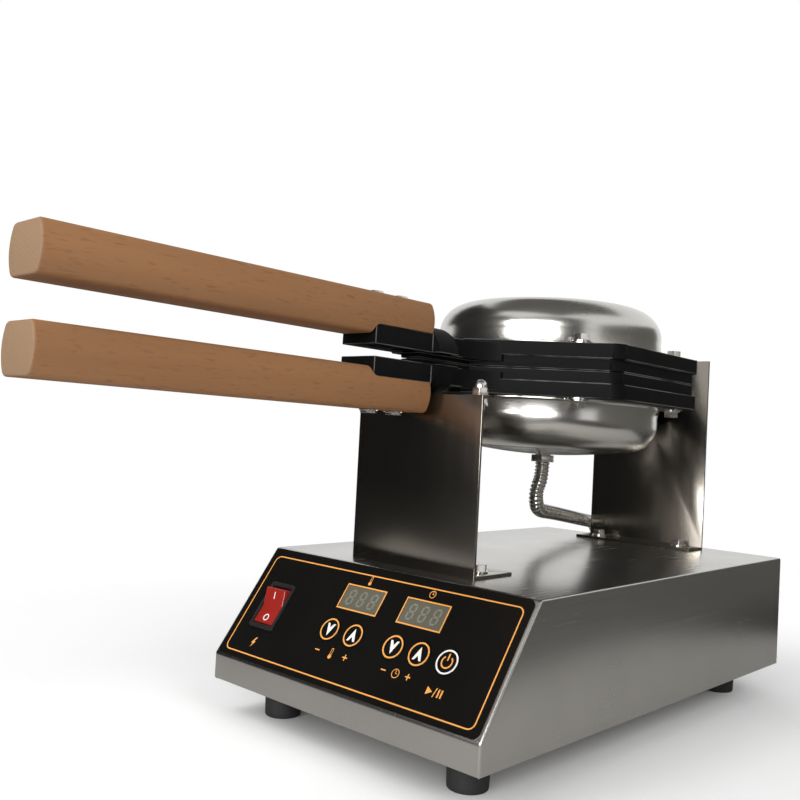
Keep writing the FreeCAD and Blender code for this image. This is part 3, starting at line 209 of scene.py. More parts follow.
# The sloping panel: x across, y up the slope from its lower edge, z out of it
HOUSING_LOW, HOUSING_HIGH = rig.box("base_housing")
NOSE_HEIGHT = 0.0185
SLOPE_RUN = 0.053
SLOPE_RISE = HOUSING_HIGH.z - HOUSING_LOW.z - NOSE_HEIGHT
SLOPE_ANGLE = math.atan2(SLOPE_RISE, SLOPE_RUN)
PANEL_ORIGIN = Vector((0, HOUSING_LOW.y, HOUSING_LOW.z + NOSE_HEIGHT))
PANEL = Matrix.Translation(PANEL_ORIGIN) @ Matrix.Rotation(SLOPE_ANGLE, 4, "X")
PANEL_NORMAL = PANEL.to_3x3() @ Vector((0, 0, 1))
FILM = 0.0006
KEY_PROUD = 0.0008
KEY_ROW = 0.039
KEY_RADIUS = 0.0085
KEYS = {
    "temperature_down_key": -0.0255,
    "temperature_up_key": -0.0025,
    "time_down_key": 0.0344,
    "time_up_key": 0.0568,
    "start_key": 0.0798,
}
DISPLAYS = {"temperature_display": -0.012, "time_display": 0.045}
DISPLAY_ROW = 0.065
DISPLAY_SIZE = (0.036, 0.017)
DISPLAY_SINK = 0.0003
SWITCH_PLACE = Vector((-0.091, 0.044, 0))
SWITCH_CUT = (0.0242, 0.0336)
ROCKER_PIVOT = -0.003
ROCKER_TILT = math.radians(11)
ROCKER_VALLEY = 0.0046
ROCKER_SLOPE = math.atan2(0.0036, 0.0159)
ROCKER_EDGE = 0.0007
BEZEL_EDGE = 0.0005
KEY_EDGE = 0.0003
FOOT_EDGE = 0.0016
GLAND_EDGE = 0.0006

# The print: places on the panel, then each symbol's measures about its own place
FRAME_PLACE = (0, 0.0445)
FRAME_SIZE = (0.234, 0.079)
FRAME_CORNER = 0.005
WINDOW_MARGIN = 1.2
WINDOW_LINE = 1.1
TITLE_ROW = 0.0795
LABEL_ROW = 0.0235
LABELS = {"temperature": -0.014, "time": 0.0456}
START_LABEL = (0.080, 0.0195)
POWER_LABEL = (SWITCH_PLACE.x, 0.0150)
BULB_DROP = 0.0020
BULB_RADIUS = 0.0014
TUBE_RISE = 0.0009
TUBE_SIZE = (0.0018, 0.0052)
TUBE_CORNER = 0.0008
TUBE_LINE = 0.0004
LABEL_TUBE_SCALE = 1.1
CLOCK_LINE = 0.0005
TITLE_CLOCK = 0.0027
LABEL_CLOCK = 0.0031
MINUTE_HAND = (0.3, 0.75)
HOUR_HAND = (0.22, 0.55)
SIGN_REACH = {"temperature": 0.0135, "time": 0.0105}
SIGN_ARM = 0.0042
SIGN_LINE = 0.0008
PLAY_CORNERS = ((-0.0062, -0.0026), (-0.0017, 0), (-0.0062, 0.0026))
SLASH_CORNERS = ((-0.0006, -0.003), (0.0001, -0.003), (0.0014, 0.003), (0.0007, 0.003))
PAUSE_PLACES = (0.0032, 0.0056)
PAUSE_SIZE = (0.0012, 0.0052)
SPARK_CORNERS = ((0.0008, 0.0038), (-0.0020, -0.0006), (-0.0002, -0.0006), (-0.0010, -0.0040),
                 (0.0020, 0.0008), (0.0003, 0.0008), (0.0022, 0.0038))
DIGIT_PITCH = 0.0105
DIGIT_SIZE = (0.0062, 0.0118)
DIGIT_LEAN = 0.12
SEGMENT = 0.0014
SEGMENT_GAP = 0.0003
RING_RADIUS = 0.0080
RING_LINE = 0.0011
ARROW_CORNERS = ((0, 0.0050), (0.0037, -0.0042), (0.0019, -0.0042), (0, -0.0010), (-0.0019, -0.0042),
                 (-0.0037, -0.0042))
POWER_RADII = (0.0044, 0.0034)
POWER_GAP = math.radians(38)
POWER_STROKE_RISE = 0.0032
POWER_STROKE = (0.0010, 0.0046)
ROCKER_MARK_REACH = 0.0085
ON_STROKE = (0.0009, 0.0052)
OFF_RADIUS = 0.0027
OFF_LINE = 0.0008

# The mould: y along the roll axis from the rear upright, z out of the parting plane of the upper half
ROLL_POINT = Vector(JOINTS["mould_flip"]["pos_m"])
ROLL_AXIS = Vector(JOINTS["mould_flip"]["axis"])
ROLL = Matrix.Translation(ROLL_POINT) @ Matrix.Rotation(math.atan2(ROLL_AXIS.z, ROLL_AXIS.y), 4, "X")
HALVES = {"upper": ROLL, "lower": ROLL @ Matrix.Rotation(math.pi, 4, "Y")}
COVER_CENTRE_Y = -0.1767
COVER_SEAT = 0.0198
COVER_SHEET = 0.0012
COVER_RADIUS = 0.092
COVER_RIM_RADIUS = 0.097
COVER_WALL = (0.0905, 0.010)
COVER_SHOULDER = (0.0842, 0.0304)
COVER_CROWN = (0.064, 0.0375)
COVER_HEIGHT = 0.043
RIM_FOLD = ((-0.0004, 0.0012), (0.0006, 0.0002), (0.0018, 0))
CROWN_STEPS = 12
SHOULDER_STEPS = 20
SPIN_STEPS = 144
TAB_CIRCLE = 0.101
TAB_RADIUS = 0.008
TAB_ANGLES = (-42, 30, 150, 222)
HANDLE_FRONT = -0.6207
HANDLE_REAR = -0.3402
HANDLE_MIDDLE = 0.0244
HANDLE_HEIGHT = 0.0276
HANDLE_FLAT = 0.0285
HANDLE_WIDTH = 0.037
LUG_FRONT = -0.395
LUG_TOP = 0.0171
SHORTEST_CAST_EDGE = 0.006
BEECH_HEART = (0.045, 0, -0.205)

# The conduit's route from the lower cover's fitting to the elbow in the rear wall
CONDUIT_ROUTE = (
    (-0.028, 0.1535, 0.192),
    (-0.028, 0.1533, 0.1785),
    (-0.0285, 0.147, 0.168),
    (-0.030, 0.149, 0.156),
    (-0.033, 0.1585, 0.1485),
    (-0.048, 0.1965, 0.1445),
    (-0.061, 0.2455, 0.138),
    (-0.068, 0.2865, 0.132),
    (-0.070, 0.3215, 0.127),
    (-0.070, 0.3215, 0.095),
)
CONDUIT_TURN = ((-0.048, 0.1965, 0.1445), (-0.068, 0.2865, 0.132))
RIB_STATIONS = ((0.0, 0.0), (0.2, 0.75), (0.42, 1.0), (0.64, 0.75), (0.85, 0.0))

# The light: name, place, width, height, power, and whether metal mirrors it
LAMPS = (
    ("key", (-0.9, -1.5, 1.9), 1.4, 1.4, 31, False),
    ("fill", (1.9, -0.2, 1.5), 1.2, 1.2, 14, False),
    ("front", (0.55, -1.2, 0.52), 1.1, 0.5, 8, False),
    ("window", (0.42, -1.22, 0.5), 1.2, 0.46, 24, True),
)
LAMP_TARGET = (0, 0, 0.17)
AMBIENT = 0.5
BACKDROP = 1.0
FLOOR_RADIUS = 3.0
FLOOR_FADE = (0.14, 0.32)

# Cards that only show mirrored in the metal: name, place, target, width, height, finish
FLAGS = (
    ("flag_front", (-0.9, -1.1, 0.5), (0, 0, 0.2), 2.6, 1.6, "black_rubber"),
    ("flag_behind", (1.3, -1.6, 0.7), (0, 0, 0.2), 2.6, 2.0, "black_rubber"),
    ("flag_side", (0.62, 0.55, 0.3), (0.1, 0.1, 0.25), 1.4, 0.56, "dark_card"),
    ("flag_left", (-1.3, -0.5, 1.15), (0, 0, 0.1), 1.8, 1.3, "black_rubber"),
    ("flag_above", (0.1, 0.0, 1.5), (0, 0, 0.2), 1.8, 1.8, "grey_card"),
    ("flag_table", (0, 0, 0.0002), (0, 0, -1), 7.0, 7.0, "black_rubber"),
    ("flag_sheet", (0.1, 0.1, 0.0004), (0.1, 0.1, -1), 1.0, 0.95, "pale_card"),
)

# The camera that took the picture
CAMERA_PLACE = (0.43556, -0.52141, 0.21578)
CAMERA_TURN = math.radians(43.53)
CAMERA_RISE = math.radians(1.727)
CAMERA_ROLL = math.radians(2.979)
CAMERA_LENS = 41.06
SENSOR = 36.0


def length(name, description, default):
    return FloatProperty(name=name, description=description, default=default, unit="LENGTH", precision=5)


def colour(name, description, default):
    return FloatVectorProperty(name=name, description=description, default=default, subtype="COLOR",
                               min=0, max=1)


class WaffleIronSizes(PropertyGroup):
    """Sizes of the details that are modelled here"""

    housing_sheet: length("Housing sheet", "Thickness of the folded housing", 0.0015)
    housing_bend: length("Housing bend", "Radius of the housing's folds", 0.0018)
    housing_lip: length("Housing lip", "Width of the fold under the housing", 0.014)
    sheet_edge: length("Sheet edge", "Easing of the uprights' cut edges", 0.0004)
    casting_edge: length("Casting edge", "Rounding of the plates' cast edges", 0.0005)
    bolt_edge: length("Bolt edge", "Chamfer of bolt heads and nuts", 0.0005)
    handle_edge: length("Handle edge", "Rounding of the handles' long edges", 0.0022)
    handle_end: length("Handle end", "Rounding of the handles' ends", 0.0014)
    shoulder_slant: length("Shoulder slant", "Lean of the handle's shoulder at the lug", 0.004)
    print_line: length("Print line", "Width of the printed lines", 0.0009)
    print_height: length("Print height", "Thickness of the printed ink", 0.00005)
    conduit_diameter: length("Conduit diameter", "Diameter over the conduit's ribs", 0.013)
    rib_depth: length("Rib depth", "Depth of the conduit's ribs", 0.0011)
    rib_count: IntProperty(name="Ribs", description="Ribs along the conduit", default=78, min=10, max=200)


class WaffleIronColours(PropertyGroup):
    """Colours of the finishes"""

    steel: colour("Steel", "Brushed housing", (0.46, 0.45, 0.425))
    # Painted shade: darker than the housing steel, to stand in for the dark room that the uprights mirror, over the
    # brushed steel's own colour
    upright: colour("Upright steel", "Brushed uprights", (0.30, 0.275, 0.24))
    cover: colour("Cover steel", "Polished covers", (0.58, 0.565, 0.53))
    bright: colour("Bright steel", "Bolts, nuts and fittings", (0.68, 0.66, 0.62))
    coat: colour("Coat", "Non-stick coat of the plates", (0.0045, 0.0047, 0.0046))
    # Lighter colour on the plates' eased edges: partly the coat rubbing through, partly painted highlight
    worn: colour("Worn coat", "Rubbed edges of the plates", (0.11, 0.11, 0.105))
    beech: colour("Beech", "Side grain of the handles", (0.285, 0.139, 0.058))
    beech_dark: colour("Beech grain", "Darker bands and flecks", (0.19, 0.083, 0.033))
    beech_end: colour("Beech end grain", "Sawn ends of the handles", (0.295, 0.187, 0.106))
    film: colour("Panel film", "Black film of the panel", (0.006, 0.0058, 0.0052))
    orange: colour("Orange ink", "Printed lines and symbols", (0.83, 0.36, 0.075))
    white: colour("White ink", "Printed arrows and marks", (0.80, 0.79, 0.76))
    window: colour("Window", "Unlit display filter", (0.115, 0.110, 0.082))
    segment: colour("Segment", "Unlit digit segments", (0.19, 0.185, 0.15))
    red: colour("Red", "Rocker of the power switch", (0.29, 0.013, 0.008))
    black: colour("Black plastic", "Switch frame, gland and feet", (0.014, 0.014, 0.014))
    brass: colour("Brass", "Pivot bush and spacers", (0.55, 0.36, 0.12))


def sizes():
    return bpy.context.scene.waffle_iron_sizes


def colours():
    return bpy.context.scene.waffle_iron_colours


# Shader arithmetic
class Wire:
    """A shader socket that takes part in sums."""

    def __init__(self, graph, socket):
        self.graph = graph
        self.socket = socket

    def sum(self, operation, first, second):
        return self.graph.add("ShaderNodeMath", {"operation": operation}, {0: first, 1: second})

    def __add__(self, other):
        return self.sum("ADD", self, other)

    def __radd__(self, other):
        return self.sum("ADD", other, self)

    def __sub__(self, other):
        return self.sum("SUBTRACT", self, other)

    def __rsub__(self, other):
        return self.sum("SUBTRACT", other, self)

    def __mul__(self, other):
        return self.sum("MULTIPLY", self, other)

    def __rmul__(self, other):
        return self.sum("MULTIPLY", other, self)


class Graph:
    """The nodes of a new material, or of the world."""

    def __init__(self, name, world=None):
        self.owner = world or bpy.data.materials.new(name)
        self.owner.use_nodes = True
        self.tree = self.owner.node_tree
        self.tree.nodes.clear()

    def add(self, kind, settings=None, inputs=None, output=0):
        """One node: its settings first, then the values or links of its sockets."""
        node = self.tree.nodes.new(kind)
        for key, value in (settings or {}).items():
            if key == "stops":
                node.color_ramp.elements[0].position = value[0]
                node.color_ramp.elements[1].position = value[1]
            else:
                setattr(node, key, value)
        for key, value in (inputs or {}).items():
            if isinstance(value, Wire):
                self.tree.links.new(value.socket, node.inputs[key])
            else:
                node.inputs[key].default_value = value
        return Wire(self, node.outputs[output])

    def place(self, scale=(1, 1, 1), shift=(0, 0, 0)):
        """The piece's own coordinates, moved and stretched."""
        coordinates = self.add("ShaderNodeTexCoord", output="Object")
        return self.add("ShaderNodeMapping", {"vector_type": "POINT"},
                        {"Vector": coordinates, "Location": shift, "Scale": scale})

    def noise(self, scale, stretch=(1, 1, 1), detail=2.0):
        return self.add("ShaderNodeTexNoise", None,
                        {"Vector": self.place(stretch), "Scale": scale, "Detail": detail})

    def length(self, vector):
        return self.add("ShaderNodeVectorMath", {"operation": "LENGTH"}, {0: vector}, output="Value")

    def ramp(self, value, low, high):
        """The value's range from low to high, stretched to 0 and 1."""
        return self.add("ShaderNodeValToRGB", {"stops": (low, high)}, {0: value})

    def blend(self, share, first, second):
        """Two colours mixed."""
        inputs = {0: share, 6: opaque(first), 7: opaque(second)}
        return self.add("ShaderNodeMix", {"data_type": "RGBA"}, inputs, output=2)

    def bump(self, height, strength, distance):
        return self.add("ShaderNodeBump", None,
                        {"Height": height, "Strength": strength, "Distance": distance})

    def surface(self, **inputs):
        """Close the material with a principled surface."""
        sockets = {socket_name(key): value for key, value in inputs.items()}
        sockets["Base Color"] = opaque(sockets["Base Color"])
        self.add_output(self.add("ShaderNodeBsdfPrincipled", None, sockets))
        return self.owner

    def add_output(self, shader, kind="ShaderNodeOutputMaterial"):
        output = self.tree.nodes.new(kind)
        self.tree.links.new(shader.socket, output.inputs["Surface"])


def socket_name(key):
    return key.replace("_", " ").title().replace("Ior", "IOR")


def opaque(value):
    return value if isinstance(value, Wire) else (*value[:3], 1.0)


def shade(value, factor):
    """The same colour, lighter or darker."""
    return tuple(min(1.0, part * factor) for part in value[:3])


# Finishes
def brushed_steel(name, tint, stretch, polish, depth):
    """Sheet steel with long scratches one way, cloudy wiping marks and a few specks."""
    graph = Graph(name)
    scratch = graph.noise(1.0, stretch, 4.0)
    cloud = graph.noise(16.0, detail=3.0)
    base = graph.blend(scratch, shade(tint, 0.94), shade(tint, 1.05))
    base = graph.blend(graph.ramp(cloud, 0.40, 0.75) * 0.3, base, shade(tint, 0.86))
    rough = polish + 0.10 * scratch + 0.08 * cloud
    return graph.surface(base_color=base, metallic=1.0, roughness=rough,
                         normal=graph.bump(scratch, depth, 0.00004))


def spun_steel(name, tint):
    """Pressed and polished steel, with rings of turning marks about the cover's middle."""
    graph = Graph(name)
    middle = ROLL @ Vector((0, COVER_CENTRE_Y, 0))
    radius = graph.length(graph.place((1, 1, 0), (-middle.x, -middle.y, 0)))
    along = graph.add("ShaderNodeCombineXYZ", None, {0: radius * 420.0})
    rings = graph.add("ShaderNodeTexNoise", None, {"Vector": along, "Scale": 1.0, "Detail": 5.0})
    cloud = graph.noise(22.0, detail=3.0)
    base = graph.blend(rings, shade(tint, 0.92), shade(tint, 1.06))
    rough = 0.17 + 0.10 * rings + 0.08 * graph.ramp(cloud, 0.45, 0.8)
    return graph.surface(base_color=base, metallic=1.0, roughness=rough,
                         normal=graph.bump(rings, 0.06, 0.00008))


def bright_steel(name, tint, grain=900.0, polish=0.16):
    """Small plated steel pieces with a fine uneven shine."""
    graph = Graph(name)
    grainy = graph.noise(grain, detail=3.0)
    stain = graph.ramp(graph.noise(150.0, detail=2.0), 0.5, 0.8)
    base = graph.blend(stain * 0.5, tint, shade(tint, 0.62))
    return graph.surface(base_color=base, metallic=1.0, roughness=polish + 0.16 * grainy + 0.1 * stain,
                         normal=graph.bump(grainy, 0.08, 0.00005))


def coated_casting(name, tint, edge, wear_and_highlight):
    """Black coat over a casting: fine grain, pale specks and, on edges, the metal rubbing through, lighter there also
    as a painted highlight.
    """
    graph = Graph(name)
    grain = graph.noise(1100.0, detail=3.0)
    cloud = graph.noise(35.0, detail=3.0)
    speck = graph.ramp(graph.noise(1700.0, detail=1.0), 0.68, 0.74)
    # Where the edge colour shows: the coat rubbing through, and a painted highlight along the eased edges
    rubbed_and_highlit = graph.ramp(graph.noise(75.0, (1, 0.4, 1), 4.0), 0.66 - 0.36 * wear_and_highlight, 0.86 - 0.30 * wear_and_highlight)
    base = graph.blend(cloud, shade(tint, 0.7), shade(tint, 1.7))
    base = graph.blend(speck * 0.35, base, shade(edge, 0.4))
    base = graph.blend(rubbed_and_highlit * wear_and_highlight, base, edge)
    rough = 0.42 + 0.16 * grain + 0.08 * cloud
    return graph.surface(base_color=base, roughness=rough, specular_ior_level=0.05,
                         normal=graph.bump(grain, 0.35, 0.00012))


def beech(name, side, dark, end):
    """Beech: broad bands and short flecks along the grain, growth rings on the sawn ends."""
    graph = Graph(name)
    band = graph.noise(1.0, (70.0, 2.6, 46.0), 3.0)
    fibre = graph.noise(1.0, (1300.0, 32.0, 1300.0), 2.0)
    fleck = graph.ramp(graph.noise(1.0, (760.0, 105.0, 760.0), 1.0), 0.60, 0.74)
    tone = graph.noise(1.0, (9.0, 5.0, 9.0), 2.0)
    grain = graph.blend(graph.ramp(band, 0.30, 0.72), shade(side, 1.10), shade(side, 0.86))
    grain = graph.blend(graph.ramp(tone, 0.35, 0.7) * 0.45, grain, shade(dark, 1.25))
    grain = graph.blend(fibre * 0.22, grain, dark)
    grain = graph.blend(fleck * 0.62, grain, dark)
    ring = graph.length(graph.place((1, 0, 1), BEECH_HEART))
    wobble = graph.noise(60.0, detail=2.0)
    years = graph.add("ShaderNodeMath", {"operation": "SINE"}, {0: ring * 2600.0 + wobble * 9.0})
    pore = graph.ramp(graph.noise(1900.0, detail=1.0), 0.5, 0.72)
    sawn = graph.blend(years * 0.5 + 0.5, shade(end, 0.97), shade(end, 1.03))
    sawn = graph.blend(pore * 0.35, sawn, shade(dark, 1.2))
    facing = graph.add("ShaderNodeTexCoord", output="Normal")
    across = graph.add("ShaderNodeSeparateXYZ", None, {0: facing}, output=1)
    square = graph.ramp(across * across, 0.45, 0.7)
    base = graph.blend(square, grain, sawn)
    return graph.surface(base_color=base, roughness=0.62 + 0.16 * fibre + 0.1 * fleck, specular_ior_level=0.3,
                         normal=graph.bump(fibre - 0.6 * fleck, 0.22, 0.00012))


def moulded(name, tint, rough, grain=800.0, gloss=0.0, mirror=0.5):
    """Moulded plastic, rubber or film: a fine skin texture and faint cloudy handling marks."""
    graph = Graph(name)
    skin = graph.noise(grain, detail=2.0)
    marks = graph.noise(28.0, detail=4.0)
    base = graph.blend(marks, shade(tint, 0.85), shade(tint, 1.2))
    return graph.surface(base_color=base, roughness=rough + 0.10 * marks + 0.06 * skin, coat_weight=gloss,
                         specular_ior_level=mirror, normal=graph.bump(skin, 0.10, 0.00006))


def finish(name):
    """A material by the name of its finish, made on first use."""
    made = bpy.data.materials.get(name)
    if made:
        return made
    tint = colours()
    recipes = {
        "brushed_housing": (brushed_steel, tint.steel, (900.0, 7.0, 900.0), 0.16, 0.03),
        # The uprights' finish: its colour darkened as painted shade for the dark surroundings they mirror
        "brushed_upright": (brushed_steel, tint.upright, (900.0, 900.0, 7.0), 0.11, 0.01),
        "spun_cover": (spun_steel, tint.cover),
        "bright_bolts": (bright_steel, tint.bright),
        "ribbed_steel": (bright_steel, shade(tint.bright, 0.85), 2600.0, 0.14),
        "black_coat": (coated_casting, tint.coat, tint.worn, 0.0),
        # The plates' eased edges: the coat rubbing through, lightened further as a painted highlight
        "worn_coat": (coated_casting, tint.coat, tint.worn, 1.0),
        "oiled_beech": (beech, tint.beech, tint.beech_dark, tint.beech_end),
        "panel_film": (moulded, tint.film, 0.16, 300.0, 0.0, 0.22),
        "orange_ink": (moulded, tint.orange, 0.34),
        "white_ink": (moulded, tint.white, 0.34),
        "display_window": (moulded, tint.window, 0.16, 300.0),
        "unlit_segments": (moulded, tint.segment, 0.3),
        "red_rocker": (moulded, tint.red, 0.22, 500.0, 0.3),
        "black_plastic": (moulded, tint.black, 0.34),
        "black_rubber": (moulded, shade(tint.black, 0.9), 0.62, 1400.0),
        "turned_brass": (bright_steel, tint.brass, 900.0, 0.22),
        "black_iron": (coated_casting, shade(tint.coat, 1.4), tint.worn, 0.0),
        "heater_sheath": (bright_steel, (0.20, 0.18, 0.165), 700.0, 0.36),
        "white_ceramic": (moulded, (0.66, 0.64, 0.58), 0.42),
        "green_board": (moulded, (0.016, 0.115, 0.04), 0.32),
        "dark_card": (moulded, (0.16, 0.155, 0.145), 0.8),
        "grey_card": (moulded, (0.22, 0.216, 0.21), 0.8),
        "pale_card": (moulded, (0.5, 0.49, 0.475), 0.8),
        "core_steel": (bright_steel, (0.16, 0.155, 0.15), 600.0, 0.42),
    }
    make, *details = recipes[name]
    return make(name, *details)


# Modelling
def activate(piece):
    """Object mode, with only this piece selected."""
    if bpy.context.object and bpy.context.object.mode != "OBJECT":
        bpy.ops.object.mode_set(mode="OBJECT")
    bpy.ops.object.select_all(action="DESELECT")
    if piece:
        bpy.context.view_layer.objects.active = piece
        piece.select_set(True)


@contextmanager
def editing(piece):
    """Edit mode on this piece, and back."""
    activate(piece)
    bpy.ops.object.mode_set(mode="EDIT")
    yield
    bpy.ops.object.mode_set(mode="OBJECT")


def choose(piece, kind, test):
    """In edit mode: select only the faces, edges or vertices that pass the test."""
    bpy.ops.mesh.select_mode(type=kind)
    bpy.ops.mesh.select_all(action="DESELECT")
    mesh = bmesh.from_edit_mesh(piece.data)
    items = {"FACE": mesh.faces, "EDGE": mesh.edges, "VERT": mesh.verts}[kind]
    for item in items:
        item.select_set(bool(test(item)))
    bmesh.update_edit_mesh(piece.data)


def named(name):
    """The piece that was just added, under this name."""
    piece = bpy.context.object
    piece.name = name
    piece.data.name = name
    return piece


def add_box(name, low, high):
    activate(None)
    low, high = Vector(low), Vector(high)
    bpy.ops.mesh.primitive_cube_add(size=1, location=(low + high) / 2, scale=high - low)
    bpy.ops.object.transform_apply(location=True, rotation=True, scale=True)
    return named(name)


def add_rod(name, radius, centre, low, high, sides=48):
    """An upright cylinder between two heights."""
    activate(None)
    place = (centre[0], centre[1], (low + high) / 2)
    bpy.ops.mesh.primitive_cylinder_add(vertices=sides, radius=radius, depth=high - low, location=place)
    bpy.ops.object.transform_apply(location=True, rotation=True, scale=True)
    return named(name)


def add_drawing(name):
    """An empty mesh to draw in."""
    activate(None)
    bpy.ops.mesh.primitive_plane_add()
    piece = named(name)
    with editing(piece):
        bpy.ops.mesh.select_all(action="SELECT")
        bpy.ops.mesh.delete(type="VERT")
    return piece


def draw_chain(points):
    """In edit mode: a line from point to point."""
    bpy.ops.mesh.select_mode(type="VERT")
    bpy.ops.mesh.select_all(action="DESELECT")
    bpy.ops.mesh.primitive_plane_add(size=0.001, location=points[0])
    bpy.ops.mesh.merge(type="CENTER")
    for start, end in zip(points, points[1:]):
        bpy.ops.mesh.extrude_region_move(TRANSFORM_OT_translate={"value": Vector(end) - Vector(start)})


def draw_outline(points):
    """In edit mode: a flat face with these corners, left selected."""
    draw_chain([*points, points[0]])
    bpy.ops.mesh.select_linked()
    bpy.ops.mesh.remove_doubles(threshold=WELD)
    bpy.ops.mesh.edge_face_add()
    bpy.ops.mesh.select_mode(type="FACE")


def draw_shape(centre, corners, up=1):
    """In edit mode: a flat face with these corners about a place, upside down if up is -1."""
    draw_outline([Vector((centre[0] + x, centre[1] + up * y, 0)) for x, y in corners])


def draw_band(points, line):
    """In edit mode: a closed line of even width inside these corners."""
    draw_outline(points)
    bpy.ops.mesh.inset(thickness=line, use_even_offset=True)
    bpy.ops.mesh.delete(type="FACE")


def circle(centre, radius, steps=40, start=0.0, turn=2 * math.pi):
    """Points round a circle, or along part of it, in the drawing plane."""
    closed = abs(turn - 2 * math.pi) < WELD
    count = steps if closed else steps + 1
    angles = [start + turn * step / steps for step in range(count)]
    return [Vector((centre[0] + radius * math.cos(a), centre[1] + radius * math.sin(a), 0)) for a in angles]


def rounded_box(centre, width, height, corner):
    """Corner points of a rectangle with round corners."""
    points = []
    for quarter, (side, up) in enumerate(((1, 1), (-1, 1), (-1, -1), (1, -1))):
        x = centre[0] + side * (width / 2 - corner)
        y = centre[1] + up * (height / 2 - corner)
        points += circle((x, y), corner, 6, quarter * math.pi / 2, math.pi / 2)
    return points


def bar(centre, width, height):
    """Corner points of a rectangle."""
    signs = ((-1, -1), (1, -1), (1, 1), (-1, 1))
    return [Vector((centre[0] + x * width / 2, centre[1] + y * height / 2, 0)) for x, y in signs]


def apply_modifier(piece, kind, **settings):
    modifier = piece.modifiers.new(kind.title(), kind)
    for key, value in settings.items():
        setattr(modifier, key, value)
    activate(piece)
    bpy.ops.object.modifier_apply(modifier=modifier.name)


def carve(piece, cutters, operation="DIFFERENCE"):
    """Cut the cutters from the piece, or join them to it, and remove them."""
    for cutter in cutters:
        apply_modifier(piece, "BOOLEAN", operation=operation, object=cutter, solver="EXACT")
        bpy.data.objects.remove(cutter)


def settle(piece, matrix):
    """Carry a piece from the frame that it was drawn in, its object back at the origin."""
    activate(piece)
    piece.matrix_world = matrix
    bpy.ops.object.transform_apply(location=True, rotation=True, scale=True)


def smooth(piece, angle=35):
    activate(piece)
    bpy.ops.object.shade_smooth_by_angle(angle=math.radians(angle))


def outward(piece):
    """Weld a piece's seams and turn its faces outwards."""
    with editing(piece):
        bpy.ops.mesh.select_all(action="SELECT")
        bpy.ops.mesh.remove_doubles(threshold=WELD)
        bpy.ops.mesh.normals_make_consistent(inside=False)


def linked(name, data):
    """A new object in the scene."""
    piece = bpy.data.objects.new(name, data)
    bpy.context.scene.collection.objects.link(piece)
    return piece


def coat(piece, *materials):
    """These finishes, and no others, on a piece."""
    piece.data.materials.clear()
    for name in materials:
        piece.data.materials.append(finish(name))


def dress(piece, body, slot, materials, *stands_for):
    """Finish, body and record slot of a new piece."""
    coat(piece, *materials)
    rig.ride(piece, body)
    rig.slot(piece, slot)
    if stands_for:
        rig.replaces(piece, *stands_for)


def body_of(node):
    return frame["nodes"][node]["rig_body"]


def slot_of(node):
    return next(part["material_slot"] for part in frame["record"]["subparts"] if part["node"] == node)


def eased(node, width, materials, segments=2, angle=38, shortest=0.0):
    """A merged copy of a machined piece with its sharp edges eased, which stands for it.

    With a shortest length, only sharp edges longer than that are eased.
    """
    piece = linked(node + "_eased", frame["nodes"][node].data.copy())
    activate(piece)
    bpy.ops.mesh.customdata_custom_splitnormals_clear()
    with editing(piece):
        bpy.ops.mesh.select_all(action="SELECT")
        bpy.ops.mesh.remove_doubles(threshold=WELD)
        bpy.ops.mesh.dissolve_limited(angle_limit=FLAT)
    coat(piece, *materials)
    sharp = math.radians(angle)
    last = len(materials) - 1
    if shortest:
        with editing(piece):
            choose(piece, "EDGE",
                   lambda edge: edge.calc_length() > shortest and edge.calc_face_angle(0) > sharp)
            bpy.ops.mesh.bevel(offset=width, segments=segments, affect="EDGES", material=last)
    else:
        apply_modifier(piece, "BEVEL", width=width, segments=segments, limit_method="ANGLE",
                       angle_limit=sharp, material=last)
    smooth(piece)
    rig.ride(piece, body_of(node))
    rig.slot(piece, slot_of(node))
    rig.replaces(piece, node)
    return piece


def paint(node, material):
    """A finish for a piece whose shape is already right."""
    coat(frame["nodes"][node], material)


